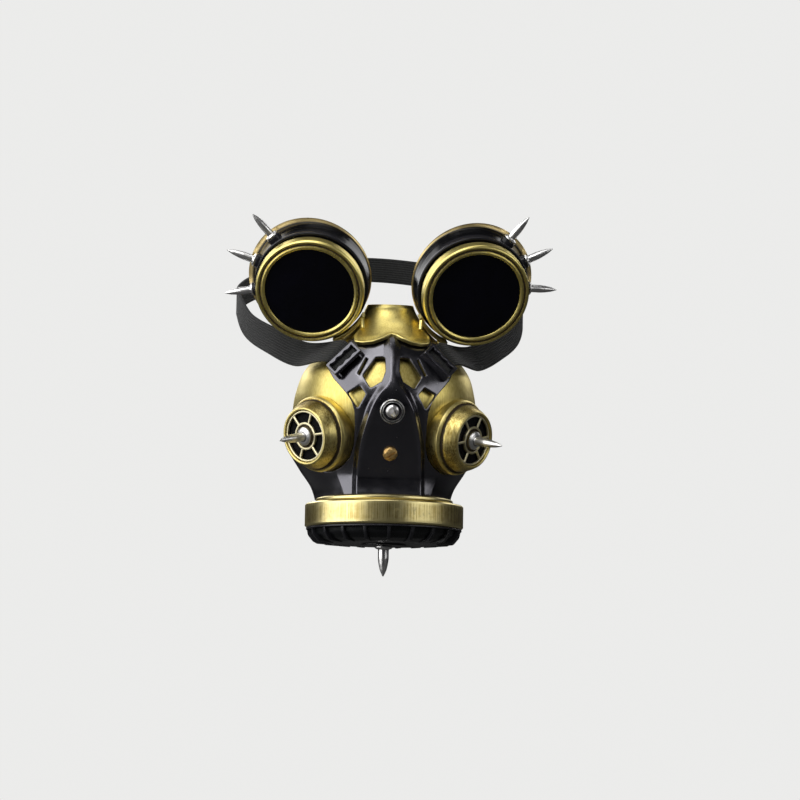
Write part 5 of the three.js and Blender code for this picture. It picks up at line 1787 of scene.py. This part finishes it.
for name, sign in SIDES.items():
    dressed(make_eyecup(name, sign), cup_black, "gloss_black", f"eyecup_{name}")

# %% [markdown]
# A bezel is turned from a profile with two rounded ridges and a groove between them. The lens
# behind it is a dark disc, crowned by half a millimetre, so that it catches light like
# a moulded lens and not like a flat pane.

# %% Bezels and lenses
LENS_CROWN = 0.5


def make_bezel(sign):
    span = BEZEL_R - SIGHT_R
    skirt = BEZEL_R - BEZEL_LIP
    profile = [
        (skirt, -BEZEL_LIP, 0.1), (skirt, -BEZEL_HEIGHT, 0.2), (BEZEL_R, -BEZEL_HEIGHT, 0.4),
        (BEZEL_R, -1.3, 1.2),
        (SIGHT_R + span * 0.78, -0.15, 0.9), (SIGHT_R + span * 0.52, -0.95, 0.35),
        (SIGHT_R + span * 0.24, 0.02, 0.8),
        (SIGHT_R, -0.8, 0.5), (SIGHT_R, -BEZEL_LIP, 0.15),
    ]
    return turned("bezel", profile, goggle_frame(sign), segments=160, steps=5)


def make_lens(sign):
    front = -BEZEL_LIP - SEAT
    crown = [(SIGHT_R * k / 12, front + LENS_CROWN * (1 - (k / 12) ** 2), 0) for k in range(11, -1, -1)]
    profile = [
        (0, front - LENS_WALL), (LENS_R, front - LENS_WALL), (LENS_R, front), (SIGHT_R, front, 0), *crown
    ]
    return turned("lens", profile, goggle_frame(sign), segments=128, radius=0.2)


for name, sign in SIDES.items():
    dressed(make_bezel(sign), gold_bezel, "antique_gold", f"bezel_{name}")
    dressed(make_lens(sign), dark_lens, "dark_lens", f"lens_{name}")

# %% [markdown]
# Small silver screws hold the goggles in the nose piece's lugs.

# %% Goggle screws
LUG_HOLE_R = 1.6
GOGGLE_SCREW_R = 2.5
GOGGLE_SCREW_HEIGHT = 1.9


def screw_seat(sign):
    angle = rad(LUG_FROM if sign > 0 else 180 - LUG_FROM)
    out = Vector((math.cos(angle), math.sin(angle), 0))
    spot = out * (FLANGE_R + FIT + LUG_WALL) + Vector((0, 0, -(LUG_FRONT + LUG_BACK) / 2))
    return goggle_frame(sign) @ aimed(spot, out)


def make_goggle_screw(sign):
    shank = LUG_HOLE_R - SEAT
    profile = [
        (0, -LUG_WALL), (shank, -LUG_WALL), (shank, SEAT), (GOGGLE_SCREW_R, SEAT),
        (GOGGLE_SCREW_R, GOGGLE_SCREW_HEIGHT * 0.5, 0.5),
        (GOGGLE_SCREW_R * 0.7, GOGGLE_SCREW_HEIGHT, 0.6), (0.9, GOGGLE_SCREW_HEIGHT, 0.1),
        (0.7, GOGGLE_SCREW_HEIGHT - 0.5, 0.1), (0, GOGGLE_SCREW_HEIGHT - 0.5),
    ]
    return turned("goggle_screw", profile, screw_seat(sign), segments=40, radius=0.15)


for name, sign in SIDES.items():
    dressed(make_goggle_screw(sign), silver, "silver", f"goggle_screw_{name}")

# %% [markdown]
# The strap is threaded through two raised loops on the plate. Each loop is a flat frame on two
# legs, and its long bars have wavy inner edges, which hold the webbing. The frame
# is cut as a sheet, and the legs and the dark inner wall under it are softened blocks.

# %% Strap loops
STRAP_WIDTH = 15.2
STRAP_WALL = 1.3
LOOP_LEG = 1.7
LOOP_BAR = 1.9
LOOP_DEPTH = 9.4
LOOP_HEIGHT = 4.6
LOOP_BAR_HEIGHT = 2
LOOP_ROOT = 5
LOOP_X = 0.69 * PLATE_HALF_WIDTH
LOOP_Z = -NOSE_DROP - 10.3
LOOP_SPREAD = 5
LOOP_WAVE = 0.35
LOOP_WAVES = 3
LOOP_LENGTH = STRAP_WIDTH + 2 * (FIT + LOOP_LEG)


def loop_frame(sign):
    """+Z stands off the plate, and +X runs along the strap's width."""
    spot = shell_point(sign * LOOP_X, LOOP_Z, plate_offset(LOOP_Z))
    normal = shell_normal(sign * LOOP_X, LOOP_Z, plate_offset)
    near, far = (
        shell_point(sign * (LOOP_X + d), LOOP_Z - d, plate_offset(LOOP_Z - d)) for d in (
            -LOOP_SPREAD, LOOP_SPREAD
        )
    )
    along = far - near
    along = (along - normal * along.dot(normal)).normalized()
    matrix = Matrix((along, normal.cross(along), normal)).transposed().to_4x4()
    matrix.translation = spot + normal * SEAT
    return matrix


def block(low, high, soften=0.3):
    """A block between two corners, with softened edges."""
    ring = [(low[0], low[1]), (high[0], low[1]), (high[0], high[1]), (low[0], high[1])]
    body = lofted("block", [[Vector((x, y, z)) for x, y in ring] for z in (low[2], high[2])])
    return bevelled(body, soften)


def make_loop(sign):
    half, deep = LOOP_LENGTH / 2, LOOP_DEPTH / 2
    outline = rounded([(-half, -deep), (half, -deep), (half, deep), (-half, deep)], 1.0)
    inner_x, inner_y = half - LOOP_LEG, deep - LOOP_BAR
    wave = lambda x: LOOP_WAVE * math.sin(math.pi * (LOOP_WAVES * x / inner_x + 0.5))
    xs = np.linspace(-inner_x, inner_x, 48)
    hole = [(x, -inner_y + wave(x) + LOOP_WAVE) for x in xs] + [
        (x, inner_y - wave(x) - LOOP_WAVE) for x in reversed(xs)
    ]
    top = cut_sheet(
        "loop_top", [outline], [hole], lambda u, v: (u, v, LOOP_HEIGHT), LOOP_BAR_HEIGHT, step=0.5,
        edge=0.45
    )
    under = LOOP_HEIGHT - LOOP_BAR_HEIGHT + 0.4
    bodies = [top]
    for side in (-1, 1):
        a, b = sorted((side * half * 0.995, side * (half - LOOP_LEG)))
        bodies.append(block((a, -deep * 0.98, -LOOP_ROOT), (b, deep * 0.98, under)))
    bodies.append(block((-half * 0.95, -deep * 0.99, -LOOP_ROOT), (half * 0.95, -deep + 1.1, under)))
    frame_matrix = loop_frame(sign)
    space = plate_space()
    space.data.transform(frame_matrix.inverted())
    bodies = [top] + [combine(body, copy_of(space), "DIFFERENCE") for body in bodies[1:]]
    bpy.data.objects.remove(space)
    loop = gathered("loop", bodies)
    loop.data.transform(frame_matrix)
    return loop


def plate_space(levels=60, segments=72):
    """Everything behind the front plate's outer face, with a small clearance."""
    rings = []
    for i in range(levels + 1):
        z = mix(YOKE[0][1] * FACE_DROP, -FACE_DROP * 0.7, i / levels)
        offset = plate_offset(z) + SEAT / 2
        rings.append([from_label(mix(-SIDE, SIDE, k / segments), z, offset) for k in range(segments + 1)])
    return lofted("plate_space", rings)


def copy_of(body):
    twin = body.copy()
    twin.data = body.data.copy()
    bpy.context.collection.objects.link(twin)
    return twin


for name, sign in SIDES.items():
    dressed(make_loop(sign), gloss_black, "gloss_black", f"strap_loop_{name}")

# %% [markdown]
# The strap is one elastic band from loop to loop round the back of a head. Its middle line is
# a smooth curve through a few named places, and the band lies flat in the loops and turns upright
# as it goes round. It is modelled straight from that line, because a simulation would only blur
# so thin a band. Each ring of points knows how far along the strap it lies.

# %% Head strap
HEAD_HALF_BREADTH = 83
HEAD_BACK = 198
HEAD_MIDDLE = 100
STRAP_UNDER = 1.8
CHEEK_Z = GOGGLE_SPOT[2] - FLANGE_R - STRAP_UNDER
STRAP_SIDE_Z = -1.5
STRAP_BACK_Z = 34
STRAP_STEPS = 420
CHEEK_ROWS = [
    dict(out=0.58, back=0.2, up=1.0), dict(out=0.76, back=0.4, up=0.69), dict(out=0.92, back=0.65, up=0.3)
]


def strap_places():
    """The places that the strap's middle line passes, from under one loop to the other."""
    loop = loop_frame(1)
    rise = STRAP_WALL / 2 + FIT
    breadth = HEAD_HALF_BREADTH + STRAP_WALL / 2
    half = LOOP_DEPTH / 2
    places = [
        loop @ Vector((0, y, z))
        for y, z in ((-half + 1.4, rise), (0, rise + 0.7), (half, rise), (half + 3.5, rise + 0.6))
    ]
    for row in CHEEK_ROWS:
        places.append(Vector((row["out"] * breadth, row["back"] * HEAD_MIDDLE, row["up"] * CHEEK_Z)))
    for degrees in (-8, 10, 30, 50, 70, 90):
        angle = rad(degrees)
        height = mix(STRAP_SIDE_Z, STRAP_BACK_Z, smooth_step(degrees, -45, 90))
        depth = HEAD_MIDDLE + (HEAD_BACK - HEAD_MIDDLE) * math.sin(angle)
        places.append(Vector((breadth * math.cos(angle), depth, height)))
    return places + [Vector((-p.x, p.y, p.z)) for p in reversed(places[:-1])]


def curve_through(places, per_span=60):
    """A smooth curve through all places, its pace following the distances between them."""
    first = places[0] * 2 - places[1]
    last = places[-1] * 2 - places[-2]
    chain = [first, *places, last]
    line = []
    for i in range(1, len(chain) - 2):
        p0, p1, p2, p3 = chain[i - 1 : i + 3]
        d0, d1, d2 = (math.sqrt((b - a).length) for a, b in ((p0, p1), (p1, p2), (p2, p3)))
        t1 = ((p1 - p0) / d0 - (p2 - p0) / (d0 + d1) + (p2 - p1) / d1) * d1
        t2 = ((p2 - p1) / d1 - (p3 - p1) / (d1 + d2) + (p3 - p2) / d2) * d1
        for k in range(per_span + (i == len(chain) - 3)):
            t = k / per_span
            line.append(
                p1 + t1 * t + (p1 * -3 + p2 * 3 - t1 * 2 - t2) * t * t + (p1 * 2 - p2 * 2 + t1 + t2) * t**3
            )
    return line


def even_steps(line, steps):
    """Points at equal distances along a line, and its length."""
    far = [0.0]
    for a, b in zip(line, line[1:]):
        far.append(far[-1] + (b - a).length)
    result, i = [], 0
    for k in range(steps + 1):
        target = far[-1] * k / steps
        while i < len(far) - 2 and far[i + 1] < target:
            i += 1
        result.append(line[i].lerp(line[i + 1], (target - far[i]) / (far[i + 1] - far[i])))
    return result, far[-1]


def make_strap():
    middle, length = even_steps(curve_through(strap_places()), STRAP_STEPS)
    along_loop = loop_frame(1).to_3x3().col[0]
    section = rounded_bar(STRAP_WIDTH, STRAP_WALL, 0.45)
    section = spaced(section, 1.3)
    rings, along, across = [], [], []
    for i, spot in enumerate(middle):
        t = i / STRAP_STEPS
        side = 1 if t <= 0.5 else -1
        tangent = (middle[min(i + 1, STRAP_STEPS)] - middle[max(i - 1, 0)]).normalized()
        in_loop = Vector((side * along_loop.x, along_loop.y, along_loop.z))
        wide = in_loop.lerp(Vector((0, 0, -1)), smooth_step(min(t, 1 - t), 0.03, 0.18))
        wide = (wide - tangent * wide.dot(tangent)).normalized()
        thick = tangent.cross(wide).normalized()
        rings.append([spot + wide * a + thick * b for a, b in section])
        along += [t * length * MM] * len(section)
        across += [a * MM for a, _ in section]
    strap = lofted("strap", rings)
    table = kdtree.KDTree(len(along))
    for i, point in enumerate(p for ring in rings for p in ring):
        table.insert(point, i)
    table.balance()
    for name, values in (("along", along), ("across", across)):
        attribute = strap.data.attributes.new(name, "FLOAT", "POINT")
        for i, vertex in enumerate(strap.data.vertices):
            attribute.data[i].value = values[table.find(vertex.co)[1]]
    return strap, length


strap, strap_length = make_strap()
dressed(strap, elastic, "elastic", "head_strap")
print("strap length, mm:", round(strap_length))

# %% [markdown]
# At the end the box of the plain solids and the box of the finished mask are written down, so
# that the two can be compared, and the frame's own checks close the script.

# %% Pieces made
print("pieces made:", len(made))
